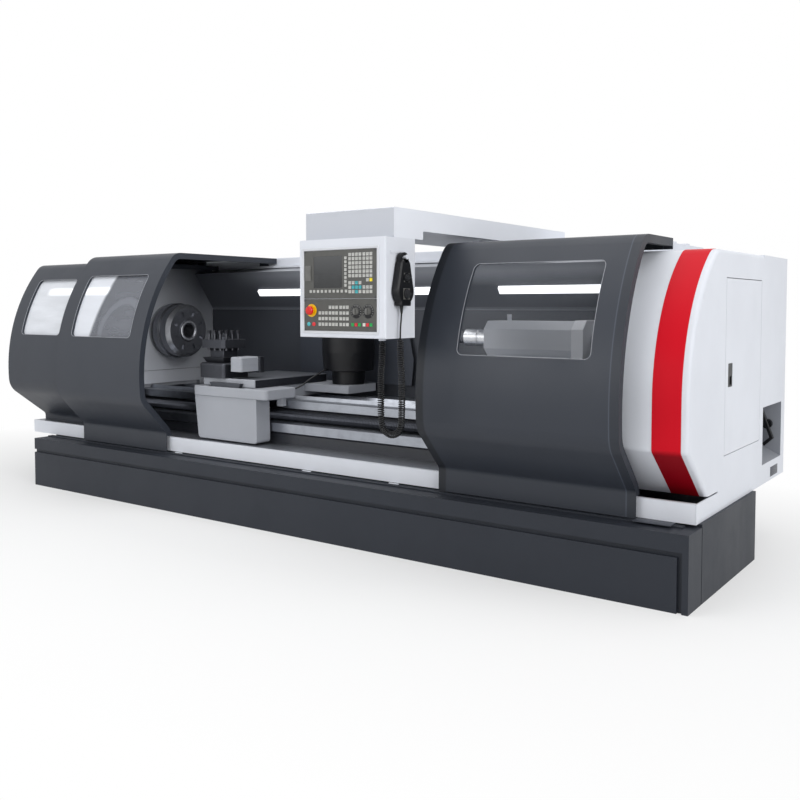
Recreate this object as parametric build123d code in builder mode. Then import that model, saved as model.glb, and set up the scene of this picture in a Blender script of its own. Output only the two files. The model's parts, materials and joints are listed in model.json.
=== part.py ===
from build123d import *
import os
from math import cos, radians, sin, tan

os.makedirs("parts", exist_ok=True)

# A flat-bed turning lathe in a sliding-door enclosure, in millimetres.
# X runs along the bed to the tailstock end, Y to the back and Z up.
# The origin is on the floor under the middle of the machine.

# Overall sizes. Places are measured from the front left foot of the base.
base_length = 4300
base_depth = 945
base_height = 319
toe_depth = 160
toe_height = 307
left_overhang = 208
front_reach = 404
back_reach = 1530
x0 = -(base_length - left_overhang) / 2
y0 = -(back_reach - front_reach) / 2
left_end = -left_overhang
right_end = 4285

# Sheet and fit sizes
sheet = 4
side_plate = 6
slide_gap = 0.1
running_gap = 0.05

# Turning axis and bed
axis_y = 630
axis_z = 1010
way_z = 640
bed_start = 30
bed_end = 3890
bed_front = 372
bed_back = 880
vee_y = 480
vee_half = 18

# Enclosure section: an arched front, a roof, a sloping chin and a skirt
arch_radius = 1107
arch_y = 1020
arch_z = 760
roof_z = 1486
shoulder_radius = 95
roof_back = 1041
short_roof_back = 495
right_roof_z = 1464
chin_bend = 120
neck_bend = 30
skirt_y = 102
skirt_z = 319
door_chin = (622, (skirt_y, 428), skirt_z)
rib_chin = (622, (skirt_y, 428), 408)
rib_depth = 35
rib_width = 30
cover_inset = 38
cover_back = 1008
cover_chin = (634, (216, 438), 400)

# Along the machine
bulkhead_x = 600
cover_end = 668
left_door_x = (391, 1192)
right_door_x = (3105, 4052)
end_cover_x = 3920

# Ledge in front of the bed
ledge_y = 131
ledge_top = 400
ledge_depth = 20
tray_back = 330

# Rear enclosure
hood_front = 1045
hood_top = 1483
hood_right = 3860
ceiling_z = 1420
rail_z = (1423, 1437)
rail_y = 1015
canopy_top = (855, 1390)
canopy_foot = (1016, 1157)
cabinet_front = 1080
cabinet_top = 1410


def across(x):
    """Upright plane across the machine at length x: its axes are depth and height."""
    return Plane(origin=(x0 + x, y0, 0), x_dir=(0, 1, 0), z_dir=(1, 0, 0))


def level(z):
    """Flat plane at height z: its axes are length and depth."""
    return Plane(origin=(x0, y0, z), x_dir=(1, 0, 0), z_dir=(0, 0, 1))


def facing(y):
    """Upright plane along the machine at depth y, looking out to the front."""
    return Plane(origin=(x0, y0 + y, 0), x_dir=(1, 0, 0), z_dir=(0, -1, 0))


def turning(y, z):
    """Plane through a lengthwise axis: its axes are length and radius."""
    return Plane(origin=(x0, y0 + y, z), x_dir=(1, 0, 0), z_dir=(0, -1, 0))


def lengthwise(y, z):
    return Axis((x0, y0 + y, z), (1, 0, 0))


def span(a, b, mode=Mode.ADD):
    """Rectangle from corner a to corner b in the open sketch."""
    with Locations(((a[0] + b[0]) / 2, (a[1] + b[1]) / 2)):
        Rectangle(abs(b[0] - a[0]), abs(b[1] - a[1]), mode=mode)


def outline(*points, mode=Mode.ADD):
    """Straight-sided face through the points in the open sketch."""
    Polygon(*points, align=None, mode=mode)


def rounded_span(a, b, radius, mode=Mode.ADD):
    """Rectangle with round corners from corner a to corner b in the open sketch."""
    with Locations(((a[0] + b[0]) / 2, (a[1] + b[1]) / 2)):
        RectangleRounded(abs(b[0] - a[0]), abs(b[1] - a[1]), radius, mode=mode)


def arched(inset, back, chin, roof=roof_z):
    """Closed outline under the arch and roof, both shrunk by inset; chin is its lower front."""
    chin_top, neck, foot = chin
    radius = arch_radius - inset
    low = (arch_y - (radius ** 2 - (chin_top - arch_z) ** 2) ** 0.5, chin_top)
    top = roof - inset
    high = (arch_y - (radius ** 2 - (top - arch_z) ** 2) ** 0.5, top)
    with BuildSketch() as section:
        with BuildLine():
            ThreePointArc(low, (arch_y - radius, arch_z), high)
            Polyline(high, (back, top), (back, foot), (neck[0], foot), neck, low)
        make_face()
        for corner, bend in ((high, shoulder_radius - inset / 2), (low, chin_bend), (neck, neck_bend)):
            fillet(section.vertices().sort_by_distance((corner[0], corner[1], 0))[0], bend)
    return section.sketch


def arched_wall(inset, depth, back, chin, roof=roof_z):
    """Section of a wall of the given depth inside the arched outline, open behind and below."""
    chin_top, neck, foot = chin
    with BuildSketch() as hollow:
        add(arched(inset, back + 2 * depth, (chin_top, neck, foot - 2 * depth), roof))
        offset(amount=-depth, kind=Kind.INTERSECTION)
    with BuildSketch() as wall:
        add(arched(inset, back, chin, roof))
        add(hollow.sketch, mode=Mode.SUBTRACT)
    return wall.sketch


# Base: a welded cabinet with a raised front, a groove round it and a stepped top
groove = 20
groove_depth = 14
raised_top = 216
raised_right = 4255
base_wall = 22
with BuildPart() as base_cabinet:
    with BuildSketch(across(0)):
        outline((0, 0), (base_depth, 0), (base_depth, base_height), (toe_depth, base_height),
                (toe_depth, toe_height), (0, toe_height))
    extrude(amount=base_length)
    with BuildSketch(facing(0)):
        span((-1, raised_top), (raised_right + groove, raised_top + groove))
        span((raised_right, -1), (raised_right + groove, raised_top))
    extrude(amount=-groove_depth, mode=Mode.SUBTRACT)
    with BuildSketch(across(base_length)):
        span((toe_depth - 3, -1), (toe_depth + 3, toe_height + 1))
    extrude(amount=-4, mode=Mode.SUBTRACT)
    with BuildSketch(level(toe_height)):
        span((10, 92), (right_end - 40, 126))
    extrude(amount=7)
    with BuildSketch(level(toe_height + 7)):
        span((10, 105), (right_end - 40, 111))
    extrude(amount=-5, mode=Mode.SUBTRACT)
    with BuildSketch(across(base_wall)):
        span((base_wall, base_wall), (base_depth - base_wall, toe_height - base_wall))
    extrude(amount=base_length - 2 * base_wall, mode=Mode.SUBTRACT)
base_cabinet.part.label = "base_cabinet"

# Front ledge: folded channel with a closed left end, and the plate behind it
with BuildPart() as front_ledge:
    with BuildSketch(across(left_end)):
        span((ledge_y, skirt_z), (ledge_y + ledge_depth, ledge_top))
        span((ledge_y, skirt_z), (toe_depth + 40, skirt_z + sheet))
    extrude(amount=right_end - left_end - side_plate)
    with BuildSketch(across(left_end + sheet)):
        span((ledge_y + sheet, skirt_z + sheet), (ledge_y + 100, ledge_top - sheet))
    extrude(amount=right_end - left_end, mode=Mode.SUBTRACT)
front_ledge.part.label = "front_ledge"

with BuildPart() as chip_tray:
    with BuildSketch(across(left_end + sheet)):
        span((ledge_y + ledge_depth, ledge_top - sheet), (tray_back, ledge_top))
    extrude(amount=end_cover_x - left_end - 20)
chip_tray.part.label = "chip_tray"

# Bed: flat and vee ways, undercut front, a lower rail and chip pockets between the ways
rail_face_y = 300
rail_top = 518
rail_low = 470
recess_y = 390
pocket_y = (530, 745)
pocket_length = 520
pocket_rib = 110
screw_y = 336
screw_z = 560
journal = 15
screw_radius = 25
bearing_x = ((605, 640), (3850, 3930))
with BuildPart() as bed:
    with BuildSketch(across(bed_start)):
        outline((tray_back, base_height), (tray_back, 455), (rail_face_y, rail_low),
                (rail_face_y, rail_top), (325, 530), (recess_y, 530), (recess_y, 585),
                (bed_front, 597), (bed_front, way_z), (520, way_z), (530, 605), (745, 605),
                (755, way_z), (bed_back, way_z), (bed_back, 597), (855, 580), (855, base_height))
    extrude(amount=bed_end - bed_start)
    with BuildSketch(across(bulkhead_x)):
        outline((vee_y - vee_half, way_z), (vee_y + vee_half, way_z), (vee_y, way_z + vee_half))
    extrude(amount=bed_end - bulkhead_x)
    pockets = int((bed_end - bulkhead_x) / (pocket_length + pocket_rib))
    with BuildSketch(level(605)):
        for number in range(pockets):
            start = bulkhead_x + pocket_rib + number * (pocket_length + pocket_rib)
            rounded_span((start, pocket_y[0] + 15), (start + pocket_length, pocket_y[1] - 15), 30)
    extrude(amount=-150, mode=Mode.SUBTRACT)
    with BuildSketch(across(bed_start + 40)):
        span((350, base_height + 15), (bed_back - 50, 435))
    extrude(amount=bed_end - bed_start - 80, mode=Mode.SUBTRACT)
    for left, right in bearing_x:
        with BuildSketch(across(left)):
            rounded_span((rail_face_y + 2, rail_top - 6), (recess_y, 590), 6)
        extrude(amount=right - left)
        with BuildSketch(across(left)):
            with Locations((screw_y, screw_z)):
                Circle(journal + running_gap)
        extrude(amount=right - left, mode=Mode.SUBTRACT)
bed.part.label = "bed"

# Feed screw along the bed and its motor behind the right bearing block
with BuildPart() as lead_screw:
    with BuildSketch(turning(screw_y, screw_z)):
        outline((606, 0), (606, journal), (640.5, journal), (640.5, screw_radius),
                (3849.5, screw_radius), (3849.5, journal), (3929, journal), (3929, 0))
    revolve(axis=lengthwise(screw_y, screw_z))
lead_screw.part.label = "lead_screw"

with BuildPart() as feed_motor:
    with BuildSketch(across(3930)):
        rounded_span((screw_y - 65, screw_z - 65), (screw_y + 65, screw_z + 65), 12)
    extrude(amount=16)
    with BuildSketch(across(3946)):
        rounded_span((screw_y - 58, screw_z - 58), (screw_y + 58, screw_z + 58), 20)
    extrude(amount=150)
    with BuildSketch(across(4096)):
        with Locations((screw_y, screw_z)):
            Circle(46)
    extrude(amount=50)
feed_motor.part.label = "feed_motor"

# Headstock casting on the left of the bed, bored for the spindle
casting_x = (60, 590)
casting_y = (395, 865)
casting_top = 1235
spindle_radius = 80
boss_radius = 168
with BuildPart() as headstock_casting:
    with BuildSketch(across(casting_x[0])):
        outline((casting_y[0], way_z), (casting_y[1], way_z), (casting_y[1], casting_top),
                (470, casting_top), (casting_y[0], 1150))
    extrude(amount=casting_x[1] - casting_x[0])
    fillet(headstock_casting.edges().filter_by(Axis.X).group_by(Axis.Z)[-1], 25)
    with BuildSketch(across(casting_x[1])):
        with Locations((axis_y, axis_z)):
            Circle(boss_radius)
    extrude(amount=20)
    with BuildSketch(across(casting_x[0])):
        with Locations((axis_y, axis_z)):
            Circle(spindle_radius + running_gap)
    extrude(amount=casting_x[1] - casting_x[0] + 20, mode=Mode.SUBTRACT)
    with BuildSketch(across(casting_x[0] + 25)):
        span((casting_y[0] + 25, way_z + 30), (casting_y[1] - 25, axis_z - spindle_radius - 25))
        span((500, axis_z + spindle_radius + 25), (casting_y[1] - 25, casting_top - 25))
    extrude(amount=casting_x[1] - casting_x[0] - 50, mode=Mode.SUBTRACT)
headstock_casting.part.label = "headstock_casting"

# Wall between the headstock and the work space, in two plates with a seam
seam_z = 749
seam = 3
inner_y = 1012
bulkhead_chin = (cover_chin[0] + 3, (cover_chin[1][0] + 2 * sheet, cover_chin[1][1]), ledge_top)
with BuildPart() as headstock_bulkhead:
    with BuildSketch(across(bulkhead_x - 6)):
        add(arched(cover_inset + sheet, inner_y, bulkhead_chin))
        span((rail_face_y - 10, 0), (bed_back + 6, way_z + 22), mode=Mode.SUBTRACT)
        span((-100, seam_z - seam), (inner_y + 1, seam_z), mode=Mode.SUBTRACT)
        with Locations((axis_y, axis_z)):
            Circle(boss_radius + 1, mode=Mode.SUBTRACT)
    extrude(amount=6)
headstock_bulkhead.part.label = "headstock_bulkhead"

# Spindle: hollow shaft with a pulley at its left end and a nose flange
bore_radius = 46
pulley_radius = 150
pulley_x = (-90, -20)
nose_x = 612
flange_end = 640
with BuildPart() as spindle:
    with BuildSketch(turning(axis_y, axis_z)):
        outline((-110, bore_radius), (-110, 66), (pulley_x[0], 66), (pulley_x[0], pulley_radius),
                (pulley_x[1], pulley_radius), (pulley_x[1], 96), (40, 96), (40, spindle_radius),
                (nose_x, spindle_radius), (nose_x, 125), (flange_end, 125), (flange_end, bore_radius))
    revolve(axis=lengthwise(axis_y, axis_z))
spindle.part.label = "spindle"

# Face drum on the spindle nose: stepped rim, bevelled front, slots and a hub ring
drum_x = (641, 785)
slot_count = 8
with BuildPart() as spindle_drum:
    with BuildSketch(turning(axis_y, axis_z)):
        outline((drum_x[0], bore_radius), (drum_x[0], 172), (646, 180), (694, 180), (698, 176),
                (704, 176), (708, 173), (762, 173), (785, 150), (785, 74), (779, 70), (779, 66),
                (793, 66), (796, 63), (796, 53), (790, bore_radius))
    revolve(axis=lengthwise(axis_y, axis_z))
    with BuildSketch(across(drum_x[1])):
        with Locations((axis_y, axis_z)):
            with PolarLocations(113, slot_count, start_angle=22.5):
                Rectangle(34, 20)
    extrude(amount=-16, mode=Mode.SUBTRACT)
spindle_drum.part.label = "spindle_drum"

# Main motor behind the headstock, its pulley and the flat belt
motor_y = 1060
motor_z = 800
motor_radius = 122
motor_pulley_radius = 90
with BuildPart() as main_motor:
    with BuildSketch(turning(motor_y, motor_z)):
        outline((-10, 0), (-10, 112), (0, motor_radius), (330, motor_radius), (345, 105),
                (420, 100), (430, 90), (430, 0))
    revolve(axis=lengthwise(motor_y, motor_z))
    with BuildSketch(across(40)):
        span((casting_y[1], motor_z - 150), (motor_y + 110, motor_z - 128))
        span((motor_y - 90, motor_z - 130), (motor_y + 90, motor_z - 60))
    extrude(amount=270)
    with BuildSketch(across(-100)):
        with Locations((motor_y, motor_z)):
            Circle(24)
    extrude(amount=91)
main_motor.part.label = "main_motor"

with BuildPart() as motor_pulley:
    with BuildSketch(across(pulley_x[0])):
        with Locations((motor_y, motor_z)):
            Circle(motor_pulley_radius)
            Circle(24 + running_gap, mode=Mode.SUBTRACT)
            with PolarLocations(57, 5):
                Circle(16, mode=Mode.SUBTRACT)
    extrude(amount=pulley_x[1] - pulley_x[0])
motor_pulley.part.label = "motor_pulley"

belt_thickness = 8
with BuildPart() as drive_belt:
    with BuildSketch(across(pulley_x[0] + 5)):
        for growth, mode in ((belt_thickness + 0.5, Mode.ADD), (0.5, Mode.SUBTRACT)):
            with BuildSketch(mode=Mode.PRIVATE) as loop:
                with Locations((axis_y, axis_z)):
                    Circle(pulley_radius + growth)
                with Locations((motor_y, motor_z)):
                    Circle(motor_pulley_radius + growth)
                make_hull()
            add(loop.sketch, mode=mode)
    extrude(amount=pulley_x[1] - pulley_x[0] - 10)
drive_belt.part.label = "drive_belt"


def window_block(window, grow, radius):
    """Upright prism through the front of the enclosure with the window's round outline."""
    left, right, low, high = window
    with BuildPart() as block:
        with BuildSketch(facing(-200)):
            rounded_span((left - grow, low - grow), (right + grow, high + grow), radius + grow)
        extrude(amount=-400)
    return block.part


def curved_piece(inset, depth, x_span, back, chin, roof=roof_z):
    """Length of wall that follows the arched front."""
    left, right = x_span
    with BuildPart() as piece:
        with BuildSketch(across(left)):
            add(arched_wall(inset, depth, back, chin, roof))
        extrude(amount=right - left)
    return piece.part


# Windows: left, right, low and high edges of the clear opening
window_radius = 26
rim_depth = 16
pane = 6
cover_window = (-88, 330, 987, 1342)
left_window = (514, 1080, 987, 1356)
right_window = (3307, 3925, 962, 1358)


def window_rim(inset, window, back, chin, roof=roof_z):
    """Sheet edge of a window turned inward all round."""
    ring = window_block(window, sheet, window_radius) - window_block(window, 0, window_radius)
    return ring & curved_piece(inset, rim_depth, (window[0] - 50, window[1] + 50), back, chin, roof)


def window_pane(inset, window, back, chin, roof=roof_z):
    """Curved pane behind the turned-in rim."""
    band = curved_piece(inset + rim_depth, pane, (window[0] - 50, window[1] + 50), back, chin, roof)
    return band & window_block(window, 18, window_radius)


# Fixed cover over the headstock, with a port for bar stock in its closed end
bar_port_radius = 65
with BuildPart() as headstock_cover:
    with BuildSketch(across(left_end)):
        add(arched_wall(cover_inset, sheet, cover_back, cover_chin))
    extrude(amount=cover_end - left_end)
    with BuildSketch(across(left_end)):
        add(arched(cover_inset, hood_front, cover_chin))
        with Locations((axis_y, axis_z)):
            Circle(bar_port_radius, mode=Mode.SUBTRACT)
    extrude(amount=sheet)
    with BuildSketch(across(cover_end - rib_width)):
        add(arched_wall(cover_inset, rib_depth - 5, cover_back, cover_chin))
    extrude(amount=rib_width)
    add(window_block(cover_window, 0, window_radius), mode=Mode.SUBTRACT)
    add(window_rim(cover_inset, cover_window, cover_back, cover_chin))
headstock_cover.part.label = "headstock_cover"

with BuildPart() as headstock_pane:
    add(window_pane(cover_inset, cover_window, cover_back, cover_chin))
headstock_pane.part.label = "headstock_pane"

# Sliding doors: the right one has a lower, shorter roof with its back edge turned down
arm_width = 60
arm_depth = 10
lip_low = 1416


def sliding_door(x_span, back, roof, window, arms):
    """Sheet skin with end ribs, a window, and arms and shoes that ride on the rear rail."""
    left, right = x_span
    with BuildPart() as door:
        with BuildSketch(across(left)):
            add(arched_wall(0, sheet, back, door_chin, roof))
        extrude(amount=right - left)
        for x in (left, right - rib_width):
            with BuildSketch(across(x)):
                add(arched_wall(0, rib_depth, back, rib_chin, roof))
            extrude(amount=rib_width)
        add(window_block(window, 0, window_radius), mode=Mode.SUBTRACT)
        add(window_rim(0, window, back, door_chin, roof))
        for x in arms:
            with BuildSketch(across(x)):
                span((300, roof - sheet - arm_depth), (roof_back, roof - sheet))
                span((rail_y, rail_z[1] + slide_gap), (roof_back, roof - sheet))
            extrude(amount=arm_width)
    return door.part


with BuildPart() as left_door:
    add(sliding_door(left_door_x, roof_back, roof_z, left_window, (450, 1060)))
left_door.part.label = "left_door"

with BuildPart() as left_door_pane:
    add(window_pane(0, left_window, roof_back, door_chin))
left_door_pane.part.label = "left_door_pane"

with BuildPart() as right_door:
    add(sliding_door(right_door_x, short_roof_back, right_roof_z, right_window, (3180, 3560)))
    with BuildSketch(across(right_door_x[0])):
        span((short_roof_back - sheet, lip_low), (short_roof_back, right_roof_z - 1))
    extrude(amount=right_door_x[1] - right_door_x[0])
right_door.part.label = "right_door"

with BuildPart() as right_door_pane:
    add(window_pane(0, right_window, short_roof_back, door_chin, right_roof_z))
right_door_pane.part.label = "right_door_pane"

# End cover: curved front, red band, side plate with a service door and a slot over the ledge
end_front = 27
end_arc_radius = 702
end_arc_start = 800
end_top_front = (373, 1405)
end_top = 1408
end_chin = ((end_front, 609), (262, 407))
end_wall = 5
edge_round = 16


def end_section(back, low_z, inset=0):
    """Closed outline of the end cover, shrunk by inset."""
    centre_y = end_front + end_arc_radius
    middle_z = end_arc_start + end_arc_radius * sin(radians(30))
    with BuildSketch() as section:
        with BuildLine():
            ThreePointArc((end_front, end_arc_start),
                          (centre_y - end_arc_radius * cos(radians(30)), middle_z), end_top_front)
            Polyline(end_top_front, (back, end_top), (back, low_z), (end_chin[1][0], low_z),
                     end_chin[0], (end_front, end_arc_start))
        make_face()
        fillet(section.vertices().sort_by_distance((end_chin[0][0], end_chin[0][1], 0))[0], 25)
        fillet(section.vertices().sort_by_distance((end_top_front[0], end_top_front[1], 0))[0], 120)
        if inset:
            offset(amount=-inset, kind=Kind.INTERSECTION)
    return section.sketch


service_y = (482, 1045)
service_z = (541, 1291)
service_gap = 3
band_x = (4140, 4255)
band_depth = 1.5
with BuildPart() as end_cover:
    with BuildSketch(across(end_cover_x)):
        add(end_section(cabinet_front, end_chin[1][1]))
    extrude(amount=right_end - end_cover_x)
    nose_edges = end_cover.edges().filter_by_position(Axis.X, x0 + right_end - 0.1, x0 + right_end + 0.1)
    fillet(nose_edges.filter_by_position(Axis.Y, y0, y0 + 372), edge_round)
    with BuildSketch(across(end_cover_x - 1)):
        add(end_section(cabinet_front + 40, end_chin[1][1], end_wall))
    extrude(amount=right_end - side_plate - end_cover_x + 1, mode=Mode.SUBTRACT)
    with BuildSketch(across(right_end - side_plate)):
        span((404, skirt_z), (cabinet_front, end_chin[1][1] + 10))
        span((ledge_y, skirt_z), (410, ledge_top))
    extrude(amount=side_plate)
    with BuildSketch(across(right_end - side_plate)):
        span((service_y[0], service_z[0]), (service_y[1], service_z[1]))
    extrude(amount=side_plate, mode=Mode.SUBTRACT)
end_cover.part.label = "end_cover"

# Bare coloured band over the curved front of the end cover
with BuildPart() as end_cover_band:
    with BuildSketch(across(band_x[0])):
        add(end_section(600, end_chin[1][1]))
        offset(amount=band_depth, kind=Kind.INTERSECTION)
        add(end_section(600, end_chin[1][1]), mode=Mode.SUBTRACT)
        span((-100, 0), (700, end_chin[1][1]), mode=Mode.SUBTRACT)
        span((430, 0), (700, 2000), mode=Mode.SUBTRACT)
    extrude(amount=band_x[1] - band_x[0])
end_cover_band.part.label = "end_cover_band"

# Service door in the end cover with a flush pull latch, hinged at its back edge
latch_y = (524, 588)
latch_z = (829, 929)
with BuildPart() as service_door:
    with BuildSketch(across(right_end - sheet)):
        span((service_y[0] + service_gap, service_z[0] + service_gap),
             (service_y[1] - service_gap, service_z[1] - service_gap))
        rounded_span((latch_y[0] - 0.5, latch_z[0] - 0.5), (latch_y[1] + 0.5, latch_z[1] + 0.5), 5,
                     mode=Mode.SUBTRACT)
    extrude(amount=sheet)
    with BuildSketch(across(right_end - sheet - 14)):
        rounded_span((latch_y[0] - 8, latch_z[0] - 8), (latch_y[1] + 8, latch_z[1] + 8), 8)
    extrude(amount=14)
    with BuildSketch(across(right_end - sheet - 11)):
        rounded_span((latch_y[0] - 0.5, latch_z[0] - 0.5), (latch_y[1] + 0.5, latch_z[1] + 0.5), 5)
    extrude(amount=11, mode=Mode.SUBTRACT)
service_door.part.label = "service_door"

with BuildPart() as service_latch:
    with BuildSketch(across(right_end - sheet - 8)):
        rounded_span((latch_y[0], latch_z[0]), (latch_y[1], latch_z[1]), 4.5)
    extrude(amount=sheet + 6)
    with BuildSketch(across(right_end - 6)):
        rounded_span((latch_y[0] + 8, latch_z[0] + 8), (latch_y[1] - 8, latch_z[0] + 44), 4)
    extrude(amount=5, mode=Mode.SUBTRACT)
service_latch.part.label = "service_latch"

# Electrical cabinet behind the end cover, with the main switch in a recess
recess_span_y = (1105, 1462)
recess_span_z = (413, 690)
recess_floor = 470
recess_x = 4165
with BuildPart() as rear_cabinet:
    with BuildSketch(across(hood_right)):
        span((cabinet_front, skirt_z), (back_reach, cabinet_top))
    extrude(amount=right_end - hood_right)
    with BuildSketch(across(hood_right + sheet)):
        span((cabinet_front + sheet, skirt_z + sheet), (back_reach - sheet, cabinet_top - sheet))
    extrude(amount=right_end - hood_right - 2 * sheet, mode=Mode.SUBTRACT)
    with BuildSketch(facing(recess_span_y[1] + sheet)):
        outline((right_end, recess_span_z[0] - sheet), (right_end, recess_span_z[1] + sheet),
                (recess_x - sheet, recess_span_z[1] + sheet), (recess_x - sheet, recess_floor - sheet))
    extrude(amount=recess_span_y[1] - recess_span_y[0] + 2 * sheet)
    with BuildSketch(facing(recess_span_y[1])):
        outline((right_end + 5, recess_span_z[0] - 2), (right_end + 5, recess_span_z[1]),
                (recess_x, recess_span_z[1]), (recess_x, recess_floor))
    extrude(amount=recess_span_y[1] - recess_span_y[0], mode=Mode.SUBTRACT)
rear_cabinet.part.label = "rear_cabinet"

switch_x = 4222
switch_z = 572
switch_y = recess_span_y[1] - 0.3
with BuildPart() as main_switch_lever:
    with BuildSketch(facing(switch_y)):
        with Locations((switch_x, switch_z)):
            Circle(24)
    extrude(amount=26)
    with BuildSketch(facing(switch_y - 20)):
        outline((switch_x - 34, switch_z + 68), (switch_x - 18, switch_z + 74),
                (switch_x + 36, switch_z - 69), (switch_x - 8, switch_z - 112),
                (switch_x - 19, switch_z - 100), (switch_x + 16, switch_z - 67))
    extrude(amount=16)
    chamfer(main_switch_lever.faces().sort_by(Axis.Y)[0].edges(), 3)
main_switch_lever.part.label = "main_switch_lever"

# Rear hood: back wall, roof, closed left end, front upstand with the doors' rail
gantry_rail_y = (1085, 1285)
gantry_rail_width = 36
gantry_rail_top = hood_top + 8
with BuildPart() as rear_hood:
    with BuildSketch(across(left_end)):
        span((hood_front, skirt_z), (back_reach, hood_top))
    extrude(amount=hood_right - left_end)
    with BuildSketch(across(left_end + sheet)):
        span((hood_front - 1, skirt_z - 1), (back_reach - sheet, hood_top - sheet))
    extrude(amount=hood_right - left_end - 2 * sheet, mode=Mode.SUBTRACT)
    with BuildSketch(across(left_end + sheet)):
        span((hood_front, ceiling_z), (hood_front + sheet, hood_top))
        span((rail_y, rail_z[0]), (hood_front + sheet, rail_z[1]))
    extrude(amount=hood_right - left_end - 2 * sheet)
    for rail in gantry_rail_y:
        with BuildSketch(across(left_end)):
            span((rail - gantry_rail_width / 2, hood_top), (rail + gantry_rail_width / 2, gantry_rail_top))
        extrude(amount=hood_right - left_end)
rear_hood.part.label = "rear_hood"

# Sheet behind the work space, with an end wall round the bed
guard_end = 3914
with BuildPart() as splash_guard:
    with BuildLine() as guard_fold:
        Polyline((canopy_foot[0], canopy_foot[1] - 8), (canopy_foot[0], 560), (910, 420), (910, base_height))
    with BuildSketch(across(bulkhead_x)):
        trace(guard_fold.line, line_width=sheet)
    extrude(amount=guard_end - bulkhead_x)
    with BuildSketch(across(guard_end)):
        add(end_section(canopy_foot[0] + 8, end_chin[1][1], end_wall + 1))
        span((rail_face_y - 30, 0), (bed_back + 10, way_z + 30), mode=Mode.SUBTRACT)
    extrude(amount=5)
splash_guard.part.label = "splash_guard"

# Folded canopy above it, which carries two long work lamps
with BuildPart() as light_canopy:
    with BuildLine() as canopy_fold:
        Polyline((hood_front - 2, ceiling_z - 1), canopy_top, canopy_foot,
                 (canopy_foot[0], canopy_foot[1] - 7))
    with BuildSketch(across(bulkhead_x)):
        trace(canopy_fold.line, line_width=sheet)
    extrude(amount=guard_end - bulkhead_x)
light_canopy.part.label = "light_canopy"

lamp_x = ((1130, 2640), (2943, 3560))
lamp_width = 46
lamp_depth = 14
canopy_run = (canopy_foot[0] - canopy_top[0], canopy_top[1] - canopy_foot[1])
lamp_place = 0.55
canopy_slope = Plane(origin=(x0, y0 + canopy_top[0] + lamp_place * canopy_run[0],
                             canopy_top[1] - lamp_place * canopy_run[1]),
                     x_dir=(1, 0, 0), z_dir=(0, -canopy_run[1], -canopy_run[0]))
with BuildPart() as work_lamps:
    for left, right in lamp_x:
        with BuildSketch(canopy_slope.offset(sheet / 2)):
            rounded_span((left, -lamp_width / 2), (right, lamp_width / 2), 6)
        extrude(amount=lamp_depth, taper=15)
work_lamps.part.label = "work_lamps"

# Carriage: saddle with a front slab, a body on the ways, a rear wing, a feed nut and a dovetail
saddle_x = (1394, 1794)
saddle_top = 712
slab_x = (1344, 1930)
slab_z = (655, 712)
slab_y = (175, 426)
wing_x = (1394, 2130)
wing_y = (640, 905)
wing_low = 668
nut_x = (1500, 1640)
dovetail_x = 1594
dovetail_half = (110, 126)
dovetail_top = 736
dovetail_y = (190, 900)
bracket_low = 610
hose_start = (445, 690)
with BuildPart() as saddle:
    with BuildSketch(level(slab_z[0])):
        rounded_span((slab_x[0], slab_y[0]), (slab_x[1], slab_y[1]), 24)
    extrude(amount=slab_z[1] - slab_z[0])
    fillet(saddle.edges().group_by(Axis.Z)[-1] + saddle.edges().group_by(Axis.Z)[0], 7)
    with BuildSketch(across(saddle_x[0])):
        span((bed_front + 3, way_z + slide_gap), (bed_back + 5, saddle_top))
        outline((vee_y - vee_half - 0.3, way_z), (vee_y + vee_half + 0.3, way_z),
                (vee_y, way_z + vee_half + 0.3), mode=Mode.SUBTRACT)
    extrude(amount=saddle_x[1] - saddle_x[0])
    with BuildSketch(level(wing_low)):
        rounded_span((wing_x[0], wing_y[0]), (wing_x[1], wing_y[1]), 10)
    extrude(amount=saddle_top - wing_low)
    with BuildSketch(across(nut_x[0])):
        span((rail_face_y + 5, 532), (368, slab_z[0] + 10))
        with Locations((screw_y, screw_z)):
            Circle(screw_radius + running_gap, mode=Mode.SUBTRACT)
    extrude(amount=nut_x[1] - nut_x[0])
    with BuildSketch(facing(dovetail_y[0])):
        outline((dovetail_x - dovetail_half[0], saddle_top), (dovetail_x + dovetail_half[0], saddle_top),
                (dovetail_x + dovetail_half[1], dovetail_top), (dovetail_x - dovetail_half[1], dovetail_top))
    extrude(amount=-(dovetail_y[1] - dovetail_y[0]))
    with BuildSketch(level(bracket_low)):
        rounded_span((1862, 330), (1904, 368), 5)
    extrude(amount=slab_z[0] + 5 - bracket_low)
    with BuildSketch(across(saddle_x[1])):
        with Locations(hose_start):
            RegularPolygon(11, 6)
    extrude(amount=8)
    with BuildSketch(across(saddle_x[1])):
        with Locations(hose_start):
            Circle(7)
    extrude(amount=18)
saddle.part.label = "saddle"

# Apron under the slab
apron_y = (185, 290)
apron_low = 410
with BuildPart() as apron:
    with BuildSketch(facing(apron_y[0])):
        outline((1350, slab_z[0]), (1845, slab_z[0]), (1850, apron_low), (1380, apron_low))
    extrude(amount=-(apron_y[1] - apron_y[0]))
    fillet(apron.edges().filter_by(Axis.Y).group_by(Axis.Z)[0], 20)
apron.part.label = "apron"

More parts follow.
